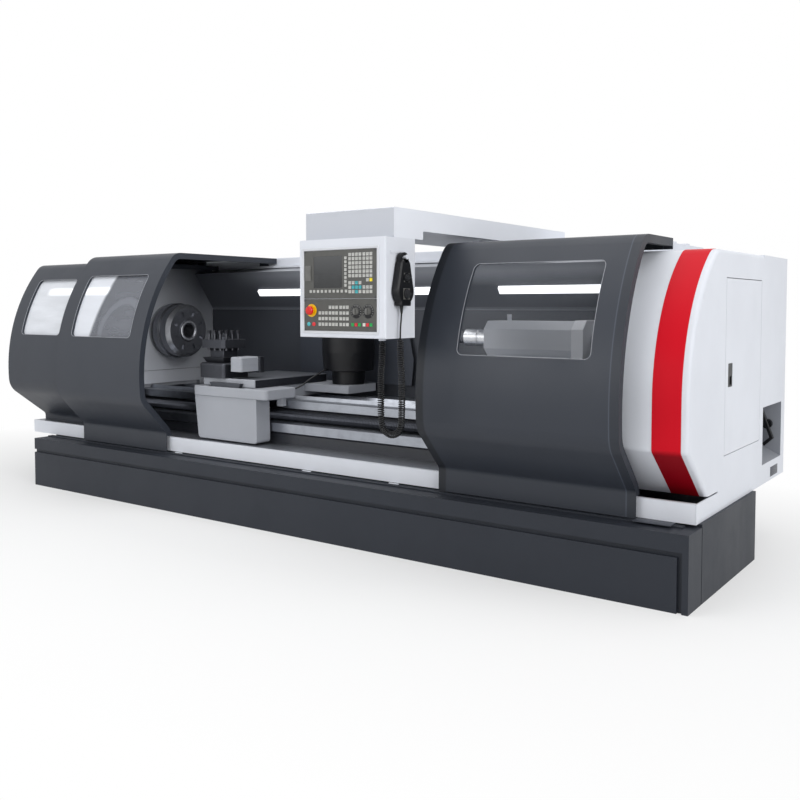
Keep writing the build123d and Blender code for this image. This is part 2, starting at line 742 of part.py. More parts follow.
# Cross slide on the dovetail
cross_x = (1384, 1804)
cross_y = (215, 840)
cross_z = (716, 760)
with BuildPart() as cross_slide:
    with BuildSketch(level(cross_z[0])):
        rounded_span((cross_x[0], cross_y[0]), (cross_x[1], cross_y[1]), 14)
    extrude(amount=cross_z[1] - cross_z[0])
    fillet(cross_slide.edges().group_by(Axis.Z)[-1], 5)
    with BuildSketch(facing(cross_y[0] - 1)):
        outline((dovetail_x - dovetail_half[0] - slide_gap, saddle_top),
                (dovetail_x + dovetail_half[0] + slide_gap, saddle_top),
                (dovetail_x + dovetail_half[1] + slide_gap, dovetail_top + slide_gap),
                (dovetail_x - dovetail_half[1] - slide_gap, dovetail_top + slide_gap))
    extrude(amount=-(cross_y[1] - cross_y[0] + 2), mode=Mode.SUBTRACT)
cross_slide.part.label = "cross_slide"

# Tool post: a dark foot with a flange and a side arm, its index motor, the turret and its clamp bolts
turret_x = 1482
turret_y = 292
foot_top = 846
flange_top = 876
turret_side = 190
pin_radius = 40
with BuildPart() as tool_post_base:
    with BuildSketch(level(cross_z[1])):
        rounded_span((1382, 192), (1585, 392), 16)
    extrude(amount=foot_top - cross_z[1])
    fillet(tool_post_base.edges().group_by(Axis.Z)[-1], 14)
    with BuildSketch(level(flange_top)):
        with Locations((turret_x, turret_y)):
            RectangleRounded(178, 178, 8)
    extrude(amount=foot_top - 6 - flange_top, taper=32)
    with BuildSketch(level(790)):
        rounded_span((1560, 351), (1711, 392), 8)
    extrude(amount=90)
    with BuildSketch(level(flange_top)):
        with Locations((turret_x, turret_y)):
            Circle(pin_radius + running_gap)
    extrude(amount=-30, mode=Mode.SUBTRACT)
tool_post_base.part.label = "tool_post_base"

with BuildPart() as tool_post_motor:
    with BuildSketch(level(801)):
        rounded_span((1620, 205), (1711, 350.9), 16)
    extrude(amount=82)
    chamfer(tool_post_motor.edges().group_by(Axis.Z)[-1], 6)
    with BuildSketch(level(842)):
        rounded_span((1618, 203), (1713, 350), 17)
        rounded_span((1621, 206), (1710, 360), 15, mode=Mode.SUBTRACT)
    extrude(amount=3)
tool_post_motor.part.label = "tool_post_motor"

plate_z = (930, 978)
bolt_offset = 70
bolt_spread = 46
bolt_top = 1030
with BuildPart() as tool_turret:
    with BuildSketch(level(flange_top + slide_gap)):
        with Locations((turret_x, turret_y)):
            RectangleRounded(112, 112, 6)
    extrude(amount=plate_z[0] - flange_top)
    with BuildSketch(level(plate_z[0])) as turret_plate:
        with Locations((turret_x, turret_y)):
            Rectangle(turret_side, turret_side)
        chamfer(turret_plate.vertices(), 16)
        with Locations((turret_x, turret_y)):
            with PolarLocations(0, 4):
                with Locations((bolt_offset, -bolt_spread), (bolt_offset, 0), (bolt_offset, bolt_spread)):
                    Circle(8, mode=Mode.SUBTRACT)
    extrude(amount=plate_z[1] - plate_z[0])
    with BuildSketch(level(plate_z[1])):
        with Locations((turret_x, turret_y)):
            Circle(38)
    extrude(amount=14, taper=20)
    with BuildSketch(level(plate_z[1] + 12)):
        with Locations((turret_x, turret_y)):
            RegularPolygon(20, 6)
    extrude(amount=24)
    with BuildSketch(level(flange_top - 28)):
        with Locations((turret_x, turret_y)):
            Circle(pin_radius)
    extrude(amount=30)
tool_turret.part.label = "tool_turret"

with BuildPart() as turret_bolts:
    with BuildSketch(level(plate_z[0] - 14)):
        with Locations((turret_x, turret_y)):
            with PolarLocations(0, 4):
                with Locations((bolt_offset, -bolt_spread), (bolt_offset, 0), (bolt_offset, bolt_spread)):
                    Circle(7.95)
    extrude(amount=bolt_top - 18 - plate_z[0] + 14)
    with BuildSketch(level(bolt_top - 18)):
        with Locations((turret_x, turret_y)):
            with PolarLocations(0, 4):
                with Locations((bolt_offset, -bolt_spread), (bolt_offset, 0), (bolt_offset, bolt_spread)):
                    Rectangle(15, 15)
    extrude(amount=18)
turret_bolts.part.label = "turret_bolts"

# Cross drive under a dark bell on the wing, with pipe fittings at its side
drive_x = 2010
drive_y = 790
bell_profile = ((0, 712), (96, 712), (96, 786), (146, 794), (155, 900), (155, 1080), (120, 1108), (0, 1108))
hose_tip = (1960, 640, 800)
with BuildPart() as cross_drive_housing:
    with BuildSketch(facing(drive_y)):
        with Locations((drive_x, 0)):
            Polygon(*bell_profile, align=None)
    revolve(axis=Axis((x0 + drive_x, y0 + drive_y, 0), (0, 0, 1)))
    with BuildSketch(Plane(origin=(x0 + hose_tip[0], y0 + hose_tip[1], hose_tip[2]), z_dir=(0, 110, 31))):
        Circle(9)
    extrude(amount=40)
    with BuildSketch(facing(705)):
        with Locations((1893, 1010), (1893, 1050)):
            RegularPolygon(15, 6)
    extrude(amount=22)
    with BuildSketch(facing(705 - 22)):
        with Locations((1893, 1010), (1893, 1050)):
            Circle(9)
    extrude(amount=18)
    with BuildSketch(facing(drive_y)):
        rounded_span((1878, 995), (1990, 1065), 6)
    extrude(amount=85)
cross_drive_housing.part.label = "cross_drive_housing"

with BuildPart() as carriage_guard:
    with BuildSketch(facing(985)):
        outline((1450, 700), (2330, 700), (2345, 850), (2285, 1140), (1450, 1140))
    extrude(amount=-sheet)
    with BuildSketch(level(700)):
        for left in (1500, 1980):
            span((left, wing_y[1]), (left + 90, 986))
    extrude(amount=12)
carriage_guard.part.label = "carriage_guard"


def round_cord(route, diameter, bend_share=0.45):
    """Tube along straight runs joined by tangent arcs."""
    points = [Vector(x0 + x, y0 + y, z) for x, y, z in route]
    bends = []
    for before, corner, after in zip(points, points[1:], points[2:]):
        first = corner - before
        second = after - corner
        turn = radians(first.get_angle(second))
        bends.append(bend_share * min(first.length, second.length) / tan(turn / 2))
    with BuildPart() as tube:
        with BuildLine() as path:
            FilletPolyline(*points, radius=bends)
        with BuildSketch(Plane(origin=points[0], z_dir=points[1] - points[0])):
            Circle(diameter / 2)
        sweep(path=path.line)
    print("cord", diameter, "length", round(path.wires()[0].length, 1), "bends", [round(b, 1) for b in bends])
    return tube.part


hose_route = ((1812, 445, 690), (1905, 445, 690), (1960, 530, 769), hose_tip)
with BuildPart() as carriage_hose:
    add(round_cord(hose_route, 9))
carriage_hose.part.label = "carriage_hose"

# Tailstock: base on the ways, pedestal and octagonal barrel, end cap bored for the handwheel shaft
tail_x = (3120, 3560)
barrel_x = (3090, 3565)
barrel_half = (100, 88)
quill_radius = 45
shaft_radius = 12
cap_end = 3625
with BuildPart() as tailstock_base:
    with BuildSketch(across(tail_x[0])):
        outline((400, way_z + slide_gap), (860, way_z + slide_gap), (860, 700), (760, 740), (720, 790),
                (540, 790), (500, 740), (400, 700))
        outline((vee_y - vee_half - 0.3, way_z), (vee_y + vee_half + 0.3, way_z),
                (vee_y, way_z + vee_half + 0.3), mode=Mode.SUBTRACT)
    extrude(amount=tail_x[1] - tail_x[0])
    for x in (tail_x[0] + 60, tail_x[1] - 60):
        with BuildSketch(level(715)):
            with Locations((x, 430), (x, 830)):
                RegularPolygon(16, 6)
        extrude(amount=-30)
tailstock_base.part.label = "tailstock_base"


def octagon_points(half_width, half_height, cut):
    """Corners of a chamfered rectangle round the turning axis."""
    corners = []
    for side, rise in ((1, 1), (-1, 1), (-1, -1), (1, -1)):
        near = (axis_y + side * half_width, axis_z + rise * (half_height - cut))
        far = (axis_y + side * (half_width - cut), axis_z + rise * half_height)
        corners += [near, far] if side * rise > 0 else [far, near]
    return corners


with BuildPart() as tailstock_body:
    with BuildSketch(across(barrel_x[0])):
        outline(*octagon_points(barrel_half[0], barrel_half[1], 40))
    extrude(amount=barrel_x[1] - barrel_x[0])
    with BuildSketch(across(barrel_x[1])):
        outline(*octagon_points(barrel_half[0] + 5, barrel_half[1] + 5, 42))
        span((axis_y - barrel_half[0] - 5, axis_z - 112), (axis_y + barrel_half[0] + 5, axis_z))
    extrude(amount=cap_end - barrel_x[1])
    with BuildSketch(across(tail_x[0] + 20)):
        span((555, 790), (705, axis_z - barrel_half[1] + 5))
    extrude(amount=tail_x[1] - tail_x[0] - 40)
    with BuildSketch(across(barrel_x[0])):
        with Locations((axis_y, axis_z)):
            Circle(quill_radius + running_gap)
    extrude(amount=barrel_x[1] + 5 - barrel_x[0], mode=Mode.SUBTRACT)
    with BuildSketch(across(barrel_x[1])):
        with Locations((axis_y, axis_z)):
            Circle(shaft_radius + running_gap)
    extrude(amount=cap_end - barrel_x[1], mode=Mode.SUBTRACT)
    with BuildSketch(level(axis_z + barrel_half[1] - 2)):
        with Locations((3180, axis_y)):
            Circle(11)
    extrude(amount=34)
tailstock_body.part.label = "tailstock_body"

center_shank = 15
with BuildPart() as quill:
    with BuildSketch(turning(axis_y, axis_z)):
        outline((2930, center_shank + running_gap), (2930, 40), (2936, quill_radius), (3010, quill_radius),
                (3013, quill_radius - 2), (3017, quill_radius - 2), (3020, quill_radius), (3500, quill_radius),
                (3500, 14), (3060, 14), (3060, 0), (2990, 0), (2990, center_shank + running_gap))
    revolve(axis=lengthwise(axis_y, axis_z))
quill.part.label = "quill"

with BuildPart() as live_center:
    with BuildSketch(turning(axis_y, axis_z)):
        outline((2835, 0), (2872, 22), (2880, 22), (2880, 30), (2884, 32), (2924, 32), (2929.9, 28),
                (2929.9, center_shank), (2989, center_shank), (2989, 0))
    revolve(axis=lengthwise(axis_y, axis_z))
live_center.part.label = "live_center"

wheel_radius = 80
with BuildPart() as handwheel:
    with BuildSketch(turning(axis_y, axis_z)):
        outline((3300, 0), (3300, shaft_radius), (cap_end + 2, shaft_radius), (cap_end + 2, 26),
                (3660, 26), (3672, 20), (3700, 20), (3700, 0))
    revolve(axis=lengthwise(axis_y, axis_z))
    with BuildSketch(turning(axis_y, axis_z)):
        with Locations((3682, wheel_radius - 10)):
            RegularPolygon(10.8, 8, rotation=22.5)
    revolve(axis=lengthwise(axis_y, axis_z))
    with BuildSketch(across(3676)):
        with Locations((axis_y, axis_z)):
            with PolarLocations(42, 3):
                Rectangle(60, 16)
    extrude(amount=12)
    with BuildSketch(turning(axis_y, axis_z)):
        with Locations((0, wheel_radius - 10)):
            outline((3690, 0), (3690, 7), (3704, 7), (3738, 13), (3750, 9), (3750, 0))
    revolve(axis=lengthwise(axis_y, axis_z + wheel_radius - 10))
handwheel.part.label = "handwheel"

# Swing-free control beam that rides on the hood's two rails and carries the control box
beam_x = (2667, 3154)
beam_top = 1585
beam_low = 1496
beam_front = -315
beam_step = -100
beam_back = 1309
beam_head_low = 1459
with BuildPart() as control_beam:
    with BuildSketch(across(beam_x[0])):
        outline((beam_front, beam_head_low), (beam_step, beam_head_low), (beam_step, beam_low),
                (beam_back, beam_low), (beam_back, beam_top), (beam_front, beam_top))
    extrude(amount=beam_x[1] - beam_x[0])
    fillet(control_beam.edges().filter_by(Axis.X), 6)
    with BuildSketch(across(beam_x[0] + sheet)):
        outline((beam_front + sheet, beam_head_low + sheet), (beam_step - sheet, beam_head_low + sheet),
                (beam_step - sheet, beam_low + sheet), (beam_back - sheet, beam_low + sheet),
                (beam_back - sheet, beam_top - sheet), (beam_front + sheet, beam_top - sheet))
    extrude(amount=beam_x[1] - beam_x[0] - 2 * sheet, mode=Mode.SUBTRACT)
    for rail in gantry_rail_y:
        with BuildSketch(across(beam_x[0] + 10)):
            span((rail - gantry_rail_width / 2 - 8, hood_top + 1),
                 (rail + gantry_rail_width / 2 + 8, beam_low + 1))
            span((rail - gantry_rail_width / 2 - slide_gap, 0),
                 (rail + gantry_rail_width / 2 + slide_gap, gantry_rail_top + slide_gap), mode=Mode.SUBTRACT)
        extrude(amount=beam_x[1] - beam_x[0] - 20)
control_beam.part.label = "control_beam"

# Control box with a recessed front and a hook peg at its side
box_x = (2680, 3156)
box_y = (-375, -160)
box_z = (1035, 1459)
panel_x = (2710, 3112)
panel_z = (1063, 1412)
panel_split = 1203
bezel = 11
panel_y = box_y[0]
pendant_y = -281
with BuildPart() as control_box:
    with BuildSketch(level(box_z[0])):
        span((box_x[0], box_y[0]), (box_x[1], box_y[1]))
    extrude(amount=box_z[1] - box_z[0])
    low_edges = control_box.edges().filter_by(Axis.X).group_by(Axis.Z)[0]
    fillet(control_box.edges().filter_by(Axis.Z) + low_edges, 7)
    with BuildSketch(level(box_z[0] + sheet)):
        span((box_x[0] + sheet, box_y[0] + 10), (box_x[1] - sheet, box_y[1] - sheet))
    extrude(amount=box_z[1] - box_z[0] - 2 * sheet, mode=Mode.SUBTRACT)
    with BuildSketch(across(box_x[1])):
        with Locations((pendant_y, 1376)):
            Circle(6)
        span((-345, 1392), (-217, 1404))
    extrude(amount=3)
    with BuildSketch(across(box_x[1] + 3)):
        with Locations((pendant_y, 1376)):
            Circle(6)
    extrude(amount=37)
    with BuildSketch(across(box_x[1] + 40)):
        with Locations((pendant_y, 1376)):
            Circle(10)
    extrude(amount=4)
    with BuildSketch(level(box_z[0] - 12)):
        with Locations((3056, -265)):
            Circle(16)
    extrude(amount=12.5)
control_box.part.label = "control_box"

with BuildPart() as panel_bezel:
    with BuildSketch(facing(panel_y)):
        rounded_span((panel_x[0] - bezel, panel_z[0] - bezel), (panel_x[1] + bezel, panel_z[1] + bezel), 6)
        span((panel_x[0], panel_z[0]), (panel_x[1], panel_z[1]), mode=Mode.SUBTRACT)
    extrude(amount=4)
    chamfer(panel_bezel.faces().sort_by(Axis.Y)[0].edges(), 1.5)
panel_bezel.part.label = "panel_bezel"

screen_x = (2766, 2926)
screen_z = (1249, 1386)
dial_x = (3003, 3067.5)
dial_z = 1149
stop_x = 2754
stop_z = 1152
flap_x = (2719, 2752)
flap_z = (1281, 1347)
plate_face = 2.5
with BuildPart() as panel_plates:
    with BuildSketch(facing(panel_y)):
        span((panel_x[0] + 1, panel_split + 1), (panel_x[1] - 1, panel_z[1] - 1))
        span((panel_x[0] + 1, panel_z[0] + 1), (panel_x[1] - 1, panel_split - 1))
        span((screen_x[0], screen_z[0]), (screen_x[1], screen_z[1]), mode=Mode.SUBTRACT)
    extrude(amount=plate_face)
    with BuildSketch(facing(panel_y - plate_face)):
        with Locations((dial_x[0], dial_z), (dial_x[1], dial_z)):
            Circle(26)
    extrude(amount=0.8)
panel_plates.part.label = "panel_plates"

with BuildPart() as screen:
    with BuildSketch(facing(panel_y)):
        span((screen_x[0] + 0.2, screen_z[0] + 0.2), (screen_x[1] - 0.2, screen_z[1] - 0.2))
    extrude(amount=1.5)
screen.part.label = "screen"

# Keys: blocks of square caps given by first column and row, counts and pitches
key = 14
small_key = 12
key_pitch = 18.4
dial_rows = 1092.6
soft_key_x = 2945.5
with BuildPart() as panel_keys:
    with BuildSketch(facing(panel_y - plate_face)):
        for first_x, first_z, columns, rows, pitch_x, pitch_z in (
                (soft_key_x, 1260, 1, 8, 1, 16.5),
                (2749.3, 1235, 1, 1, 1, 1),
                (2769, 1235, 8, 1, 22.3, 1),
                (soft_key_x + 3, 1235, 1, 1, 1, 1)):
            middle = (first_x + (columns - 1) * pitch_x / 2, first_z + (rows - 1) * pitch_z / 2)
            with Locations(middle):
                with GridLocations(pitch_x, pitch_z, columns, rows):
                    Rectangle(small_key, small_key)
        for first_x, first_z, columns, rows, pitch_z in (
                (2969, 1299.5, 4, 6, 17.9),
                (2969, 1232.3, 4, 3, 18.6),
                (3045.6, 1299.5, 3, 6, 17.9),
                (3064, 1281.2, 2, 1, 1),
                (3045.6, 1232.3, 3, 2, 18.6),
                (2801.4, dial_rows, 3, 3, 24.5),
                (2859.2, dial_rows, 3, 4, 24.5),
                (2918.9, dial_rows, 3, 4, 24.5),
                (2984.3, dial_rows, 3, 1, 1),
                (3045.6, dial_rows, 3, 1, 1)):
            middle = (first_x + (columns - 1) * key_pitch / 2, first_z + (rows - 1) * pitch_z / 2)
            with Locations(middle):
                with GridLocations(key_pitch, pitch_z, columns, rows):
                    Rectangle(key, key)
        with Locations((2738, dial_rows), (2767, dial_rows)):
            Circle(9)
    extrude(amount=2)
panel_keys.part.label = "panel_keys"

with BuildPart() as e_stop_collar:
    with BuildSketch(facing(panel_y - plate_face)):
        with Locations((stop_x, stop_z)):
            Circle(28)
    extrude(amount=4, taper=12)
    with BuildSketch(facing(panel_y - plate_face - 4)):
        with Locations((stop_x, stop_z)):
            Circle(15)
    extrude(amount=4)
    with BuildSketch(facing(panel_y - plate_face)):
        with Locations((stop_x, stop_z)):
            Circle(8 + running_gap)
    extrude(amount=8, mode=Mode.SUBTRACT)
e_stop_collar.part.label = "e_stop_collar"


def front_turned(x, z):
    """Plane through an axis that points out of the panel: its axes are depth and radius."""
    return Plane(origin=(x0 + x, y0, z), x_dir=(0, 1, 0), z_dir=(1, 0, 0))


def outward(x, z):
    return Axis((x0 + x, y0, z), (0, 1, 0))


stop_travel = 4
stem_end = panel_y - plate_face - stop_travel - 0.5
with BuildPart() as e_stop_button:
    with BuildSketch(front_turned(stop_x, stop_z)):
        outline((-front_reach, 0), (-front_reach, 10), (-front_reach + 3, 16), (-front_reach + 8, 19.5),
                (-front_reach + 14, 20), (-front_reach + 14, 8), (stem_end, 8), (stem_end, 0))
    revolve(axis=outward(stop_x, stop_z))
e_stop_button.part.label = "e_stop_button"

dial_face = panel_y - plate_face - 0.8


def rotary_dial(x):
    """Round knob with a grip bar."""
    with BuildPart() as dial:
        with BuildSketch(facing(dial_face)):
            with Locations((x, dial_z)):
                Circle(15)
        extrude(amount=9, taper=6)
        with BuildSketch(facing(dial_face - 9)):
            with Locations((x, dial_z)):
                RectangleRounded(8, 27, 3.5)
        extrude(amount=7)
    return dial.part


with BuildPart() as left_dial:
    add(rotary_dial(dial_x[0]))
left_dial.part.label = "left_dial"

with BuildPart() as right_dial:
    add(rotary_dial(dial_x[1]))
right_dial.part.label = "right_dial"

with BuildPart() as memory_flap:
    with BuildSketch(facing(panel_y - plate_face - 0.2)):
        rounded_span((flap_x[0], flap_z[0]), (flap_x[1], flap_z[1]), 3)
    extrude(amount=3)
    with BuildSketch(facing(panel_y - plate_face - 3.2)):
        rounded_span((flap_x[1] - 9, flap_z[0] + 20), (flap_x[1] - 4, flap_z[1] - 20), 2)
    extrude(amount=2)
memory_flap.part.label = "memory_flap"

# Hand pendant on the peg: oval body with a hook ring, two knobs, a short cable and a curly cord
pendant_x = (3161, 3195)
pendant_low = 1172
knob_z = (1222, 1290)
with BuildPart() as pendant_body:
    with BuildSketch(across(pendant_x[0])):
        with BuildSketch(mode=Mode.PRIVATE) as shell:
            with Locations((pendant_y, 1233)):
                Circle(58)
            with Locations((pendant_y, 1338)):
                Circle(34)
            make_hull()
        add(shell.sketch)
        span((pendant_y - 38, pendant_low), (pendant_y + 38, 1210))
    extrude(amount=pendant_x[1] - pendant_x[0])
    chamfer(pendant_body.edges().group_by(Axis.X)[-1], 6)
    with BuildSketch(across(pendant_x[0] + 4)):
        with Locations((pendant_y, 1366)):
            Circle(30)
            Circle(16.3, mode=Mode.SUBTRACT)
    extrude(amount=20)
    with BuildSketch(across(pendant_x[0] - 1)):
        with Locations((pendant_y, 1366)):
            Circle(16.3)
    extrude(amount=50, mode=Mode.SUBTRACT)
    with BuildSketch(across(pendant_x[1])):
        with Locations((pendant_y, knob_z[0]), (pendant_y, knob_z[1])):
            Circle(22)
    extrude(amount=1.5)
pendant_body.part.label = "pendant_body"


def pendant_knob(z, radius):
    """Pointer knob on the pendant's face."""
    with BuildPart() as knob:
        with BuildSketch(across(pendant_x[1] + 1.6)):
            with Locations((pendant_y, z)):
                Circle(radius)
        extrude(amount=7, taper=6)
        with BuildSketch(across(pendant_x[1] + 8.6)):
            with Locations((pendant_y, z)):
                RectangleRounded(radius * 1.8, radius * 0.55, radius * 0.2)
        extrude(amount=5)
    return knob.part


with BuildPart() as pendant_knob_lower:
    add(pendant_knob(knob_z[0], 19))
pendant_knob_lower.part.label = "pendant_knob_lower"

with BuildPart() as pendant_knob_upper:
    add(pendant_knob(knob_z[1], 13))
pendant_knob_upper.part.label = "pendant_knob_upper"

cable_route = ((3178, -293, 1172), (3178, -293, 1128), (3175, -298, 1082), (3175, -298, 1038))
with BuildPart() as pendant_cable:
    add(round_cord(cable_route, 7))
pendant_cable.part.label = "pendant_cable"

coil_width = 22
coil_route = ((3175, -298, 1038), (3175, -298, 965), (3178, -293, 890), (3173, -284, 800),
              (3164, -272, 715), (3157, -267, 655), (3137, -265, 628), (3105, -264, 617), (3073, -265, 628),
              (3053, -266, 655), (3049, -267, 715), (3051, -268, 790), (3049, -267, 870),
              (3056, -265, 950), (3056, -265, 1023))
with BuildPart() as pendant_coil:
    add(round_cord(coil_route, coil_width))
pendant_coil.part.label = "pendant_coil"

pieces = (base_cabinet, front_ledge, chip_tray, bed, lead_screw, feed_motor, headstock_casting,
          headstock_bulkhead, spindle, spindle_drum, main_motor, motor_pulley, drive_belt, headstock_cover,
          headstock_pane, left_door, left_door_pane, right_door, right_door_pane, end_cover, end_cover_band,
          service_door, service_latch, rear_cabinet, main_switch_lever, rear_hood, splash_guard, light_canopy,
          work_lamps, saddle, apron, cross_slide, tool_post_base, tool_post_motor, tool_turret, turret_bolts,
          cross_drive_housing, carriage_guard, carriage_hose, tailstock_base, tailstock_body, quill,
          live_center, handwheel, control_beam, control_box, panel_bezel, panel_plates, screen, panel_keys,
          e_stop_collar, e_stop_button, left_dial, right_dial, memory_flap, pendant_body,
          pendant_knob_lower, pendant_knob_upper, pendant_cable, pendant_coil)
for piece in pieces:
    export_step(piece.part, "parts/" + piece.part.label + ".step")
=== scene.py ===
import bpy
import json
import math
from mathutils import Matrix, Vector


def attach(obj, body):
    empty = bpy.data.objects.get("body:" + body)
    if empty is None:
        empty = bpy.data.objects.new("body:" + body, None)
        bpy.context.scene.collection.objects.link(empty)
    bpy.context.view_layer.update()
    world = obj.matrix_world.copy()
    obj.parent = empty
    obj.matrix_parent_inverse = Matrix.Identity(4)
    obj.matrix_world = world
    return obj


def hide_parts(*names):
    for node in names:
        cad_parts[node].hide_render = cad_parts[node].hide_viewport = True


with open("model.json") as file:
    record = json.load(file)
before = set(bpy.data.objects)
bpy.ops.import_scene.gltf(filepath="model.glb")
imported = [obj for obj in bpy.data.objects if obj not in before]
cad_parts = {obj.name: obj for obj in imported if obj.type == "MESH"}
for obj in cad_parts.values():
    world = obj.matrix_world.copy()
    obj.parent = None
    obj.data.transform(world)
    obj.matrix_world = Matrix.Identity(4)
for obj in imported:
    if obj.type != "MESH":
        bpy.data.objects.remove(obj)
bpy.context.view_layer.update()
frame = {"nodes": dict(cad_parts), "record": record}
nodes = frame["nodes"]
rowShift = Vector((-2.046, -0.563, 0.0))  # the base's front left foot, which sizes are measured from


def at(x, y, z):  # millimetres from the front left foot to metres in the frame
    return Vector((x, y, z)) / 1000 + rowShift


# Shader maths: a socket that adds, multiplies and so on by making Math nodes
class Value:
    def __init__(self, finish, socket):
        self.finish = finish
        self.socket = socket

    def maths(self, operation, *others, clamp=False):
        settings = {"operation": operation, "use_clamp": clamp}
        return self.finish.node("ShaderNodeMath", settings, self, *others)

    def __add__(self, other):
        return self.maths("ADD", other)

    __radd__ = __add__

    def __sub__(self, other):
        return self.maths("SUBTRACT", other)

    def __rsub__(self, other):
        return self.finish.node("ShaderNodeMath", {"operation": "SUBTRACT"}, other, self)

    def __mul__(self, other):
        return self.maths("MULTIPLY", other)

    __rmul__ = __mul__

    def __truediv__(self, other):
        return self.maths("DIVIDE", other)

    def __rtruediv__(self, other):
        return self.finish.node("ShaderNodeMath", {"operation": "DIVIDE"}, other, self)

    def __gt__(self, other):
        return self.maths("GREATER_THAN", other)

    def __lt__(self, other):
        return self.maths("LESS_THAN", other)

    def __pow__(self, other):
        return self.maths("POWER", other)

    def absolute(self):
        return self.maths("ABSOLUTE")

    def sine(self):
        return self.maths("SINE")

    def part(self):
        return self.maths("FRACT")

    def clamped(self):
        return self.maths("ADD", 0.0, clamp=True)


# A finish: one material with a Principled shader and helpers for its nodes
class Finish:
    def __init__(self, name, **constants):
        self.material = bpy.data.materials.new(name)
        self.material.use_nodes = True
        self.tree = self.material.node_tree
        self.tree.nodes.clear()
        self.output = self.tree.nodes.new("ShaderNodeOutputMaterial")
        self.shader = self.tree.nodes.new("ShaderNodeBsdfPrincipled")
        self.tree.links.new(self.shader.outputs[0], self.output.inputs[0])
        self.place = self.node("ShaderNodeTexCoord", {}, result="Object")
        for socketName, value in constants.items():
            self.shader.inputs[socketName.replace("_", " ")].default_value = value

    def node(self, kind, settings, *values, result=0, **named):
        made = self.tree.nodes.new(kind)
        for key, setting in settings.items():
            setattr(made, key, setting)
        for index, value in enumerate(values):
            self.join(value, made.inputs[index])
        for key, value in named.items():
            self.join(value, made.inputs[key.replace("_", " ")])
        return Value(self, made.outputs[result])

    def join(self, value, socket):
        if isinstance(value, Value):
            self.tree.links.new(value.socket, socket)
        else:
            socket.default_value = value

    def feed(self, **entries):
        for key, value in entries.items():
            self.join(value, self.shader.inputs[key.replace("_", " ")])

    def noise(self, scale, detail=3.0, roughness=0.55, vector=None):
        return self.node("ShaderNodeTexNoise", {}, result="Fac", Vector=vector or self.place,
                         Scale=scale, Detail=detail, Roughness=roughness)

    def axis(self, letter):
        return self.node("ShaderNodeSeparateXYZ", {}, self.place, result=letter)

    def ramp(self, value, low, high, start=0.0, end=1.0):
        return self.node("ShaderNodeMapRange", {"clamp": True}, value, low, high, start, end)

    def mix(self, mask, first, second):  # sockets 0, 6 and 7 are a colour mix's factor, A and B
        made = self.tree.nodes.new("ShaderNodeMix")
        made.data_type = "RGBA"
        for index, value in ((0, mask), (6, first), (7, second)):
            self.join(value, made.inputs[index])
        return Value(self, made.outputs[2])

    def stretched(self, x, y, z):
        return self.node("ShaderNodeMapping", {}, Vector=self.place, Scale=(x, y, z))

    def within(self, low, high):  # 1 inside a box of two corners in the frame, 0 outside
        inside = None
        for letter, small, large in zip("XYZ", low, high):
            place = self.axis(letter)
            here = (place > small) * (place < large)
            inside = here if inside is None else inside * here
        return inside

    def around(self, second, middleFirst, middleSecond, first="Y"):  # distance from a straight line
        sideways = self.axis(first) - middleFirst
        upward = self.axis(second) - middleSecond
        return (sideways * sideways + upward * upward) ** 0.5

    def bump(self, height, strength, distance):
        normal = self.node("ShaderNodeBump", {}, Height=height, Strength=strength, Distance=distance)
        self.feed(Normal=normal)


def shade(colour, factor):  # a colour made darker or lighter, in linear light
    return tuple(min(1.0, part * factor) for part in colour[:3]) + (1.0,)


def fromScreen(red, green, blue):  # 0 to 255 screen values to linear light
    def linear(value):
        value = value / 255
        return value / 12.92 if value <= 0.04045 else ((value + 0.055) / 1.055) ** 2.4
    return (linear(red), linear(green), linear(blue), 1.0)


# Camera: lens, tilt and turn worked out from the long edges of the machine
cameraSet = dict(place=(3.3348, -3.9136, 1.1724), down=2.79, turn=35.87, lens=40.503, shiftY=-0.0629)
camera = bpy.data.cameras.new("photo_view")
camera.sensor_width = 36.0
camera.lens = cameraSet["lens"]
camera.shift_y = cameraSet["shiftY"]
cameraHolder = bpy.data.objects.new("photo_view", camera)
bpy.context.scene.collection.objects.link(cameraHolder)
cameraHolder.location = cameraSet["place"]
cameraHolder.rotation_euler = (math.radians(90 - cameraSet["down"]), 0, math.radians(cameraSet["turn"]))
bpy.context.scene.camera = cameraHolder
bpy.context.scene.view_settings.view_transform = "Standard"


# Sprayed or powder coat on sheet metal
coatSet = dict(cloudScale=1.7, cloudTones=(0.96, 1.04), grimeScale=6.0, grimeTone=0.72, dustTop=0.5,
               streakScale=3.0, streakStretch=(1.0, 1.0, 0.18), duller=(-0.04, 0.08), grimeDuller=0.05,
               refraction=1.46, peelDepth=0.0004)


def paintFinish(name, colour, roughness=0.42, peel=0.10, peelScale=700.0, dust=0.06, shine=0.35):
    paint = Finish(name, IOR=coatSet["refraction"], Specular_IOR_Level=shine)
    cloud = paint.noise(coatSet["cloudScale"], 4.0)
    grime = paint.ramp(paint.noise(coatSet["grimeScale"], 6.0, 0.62), 0.45, 0.75)
    low = paint.ramp(paint.axis("Z"), 0.0, coatSet["dustTop"], 1.0, 0.0)
    darker, lighter = (shade(colour, factor) for factor in coatSet["cloudTones"])
    base = paint.mix(paint.ramp(cloud, 0.3, 0.7), darker, lighter)
    dirty = paint.mix(grime * (low * dust + dust * 0.5), base, shade(colour, coatSet["grimeTone"]))
    streak = paint.noise(coatSet["streakScale"], 5.0, 0.6, paint.stretched(*coatSet["streakStretch"]))
    smooth, dull = (roughness + change for change in coatSet["duller"])
    rough = paint.ramp(streak, 0.25, 0.8, smooth, dull)
    paint.feed(Base_Color=dirty, Roughness=rough + grime * coatSet["grimeDuller"])
    paint.bump(paint.noise(peelScale, 2.0), peel, coatSet["peelDepth"])
    paint.tone = dirty
    return paint


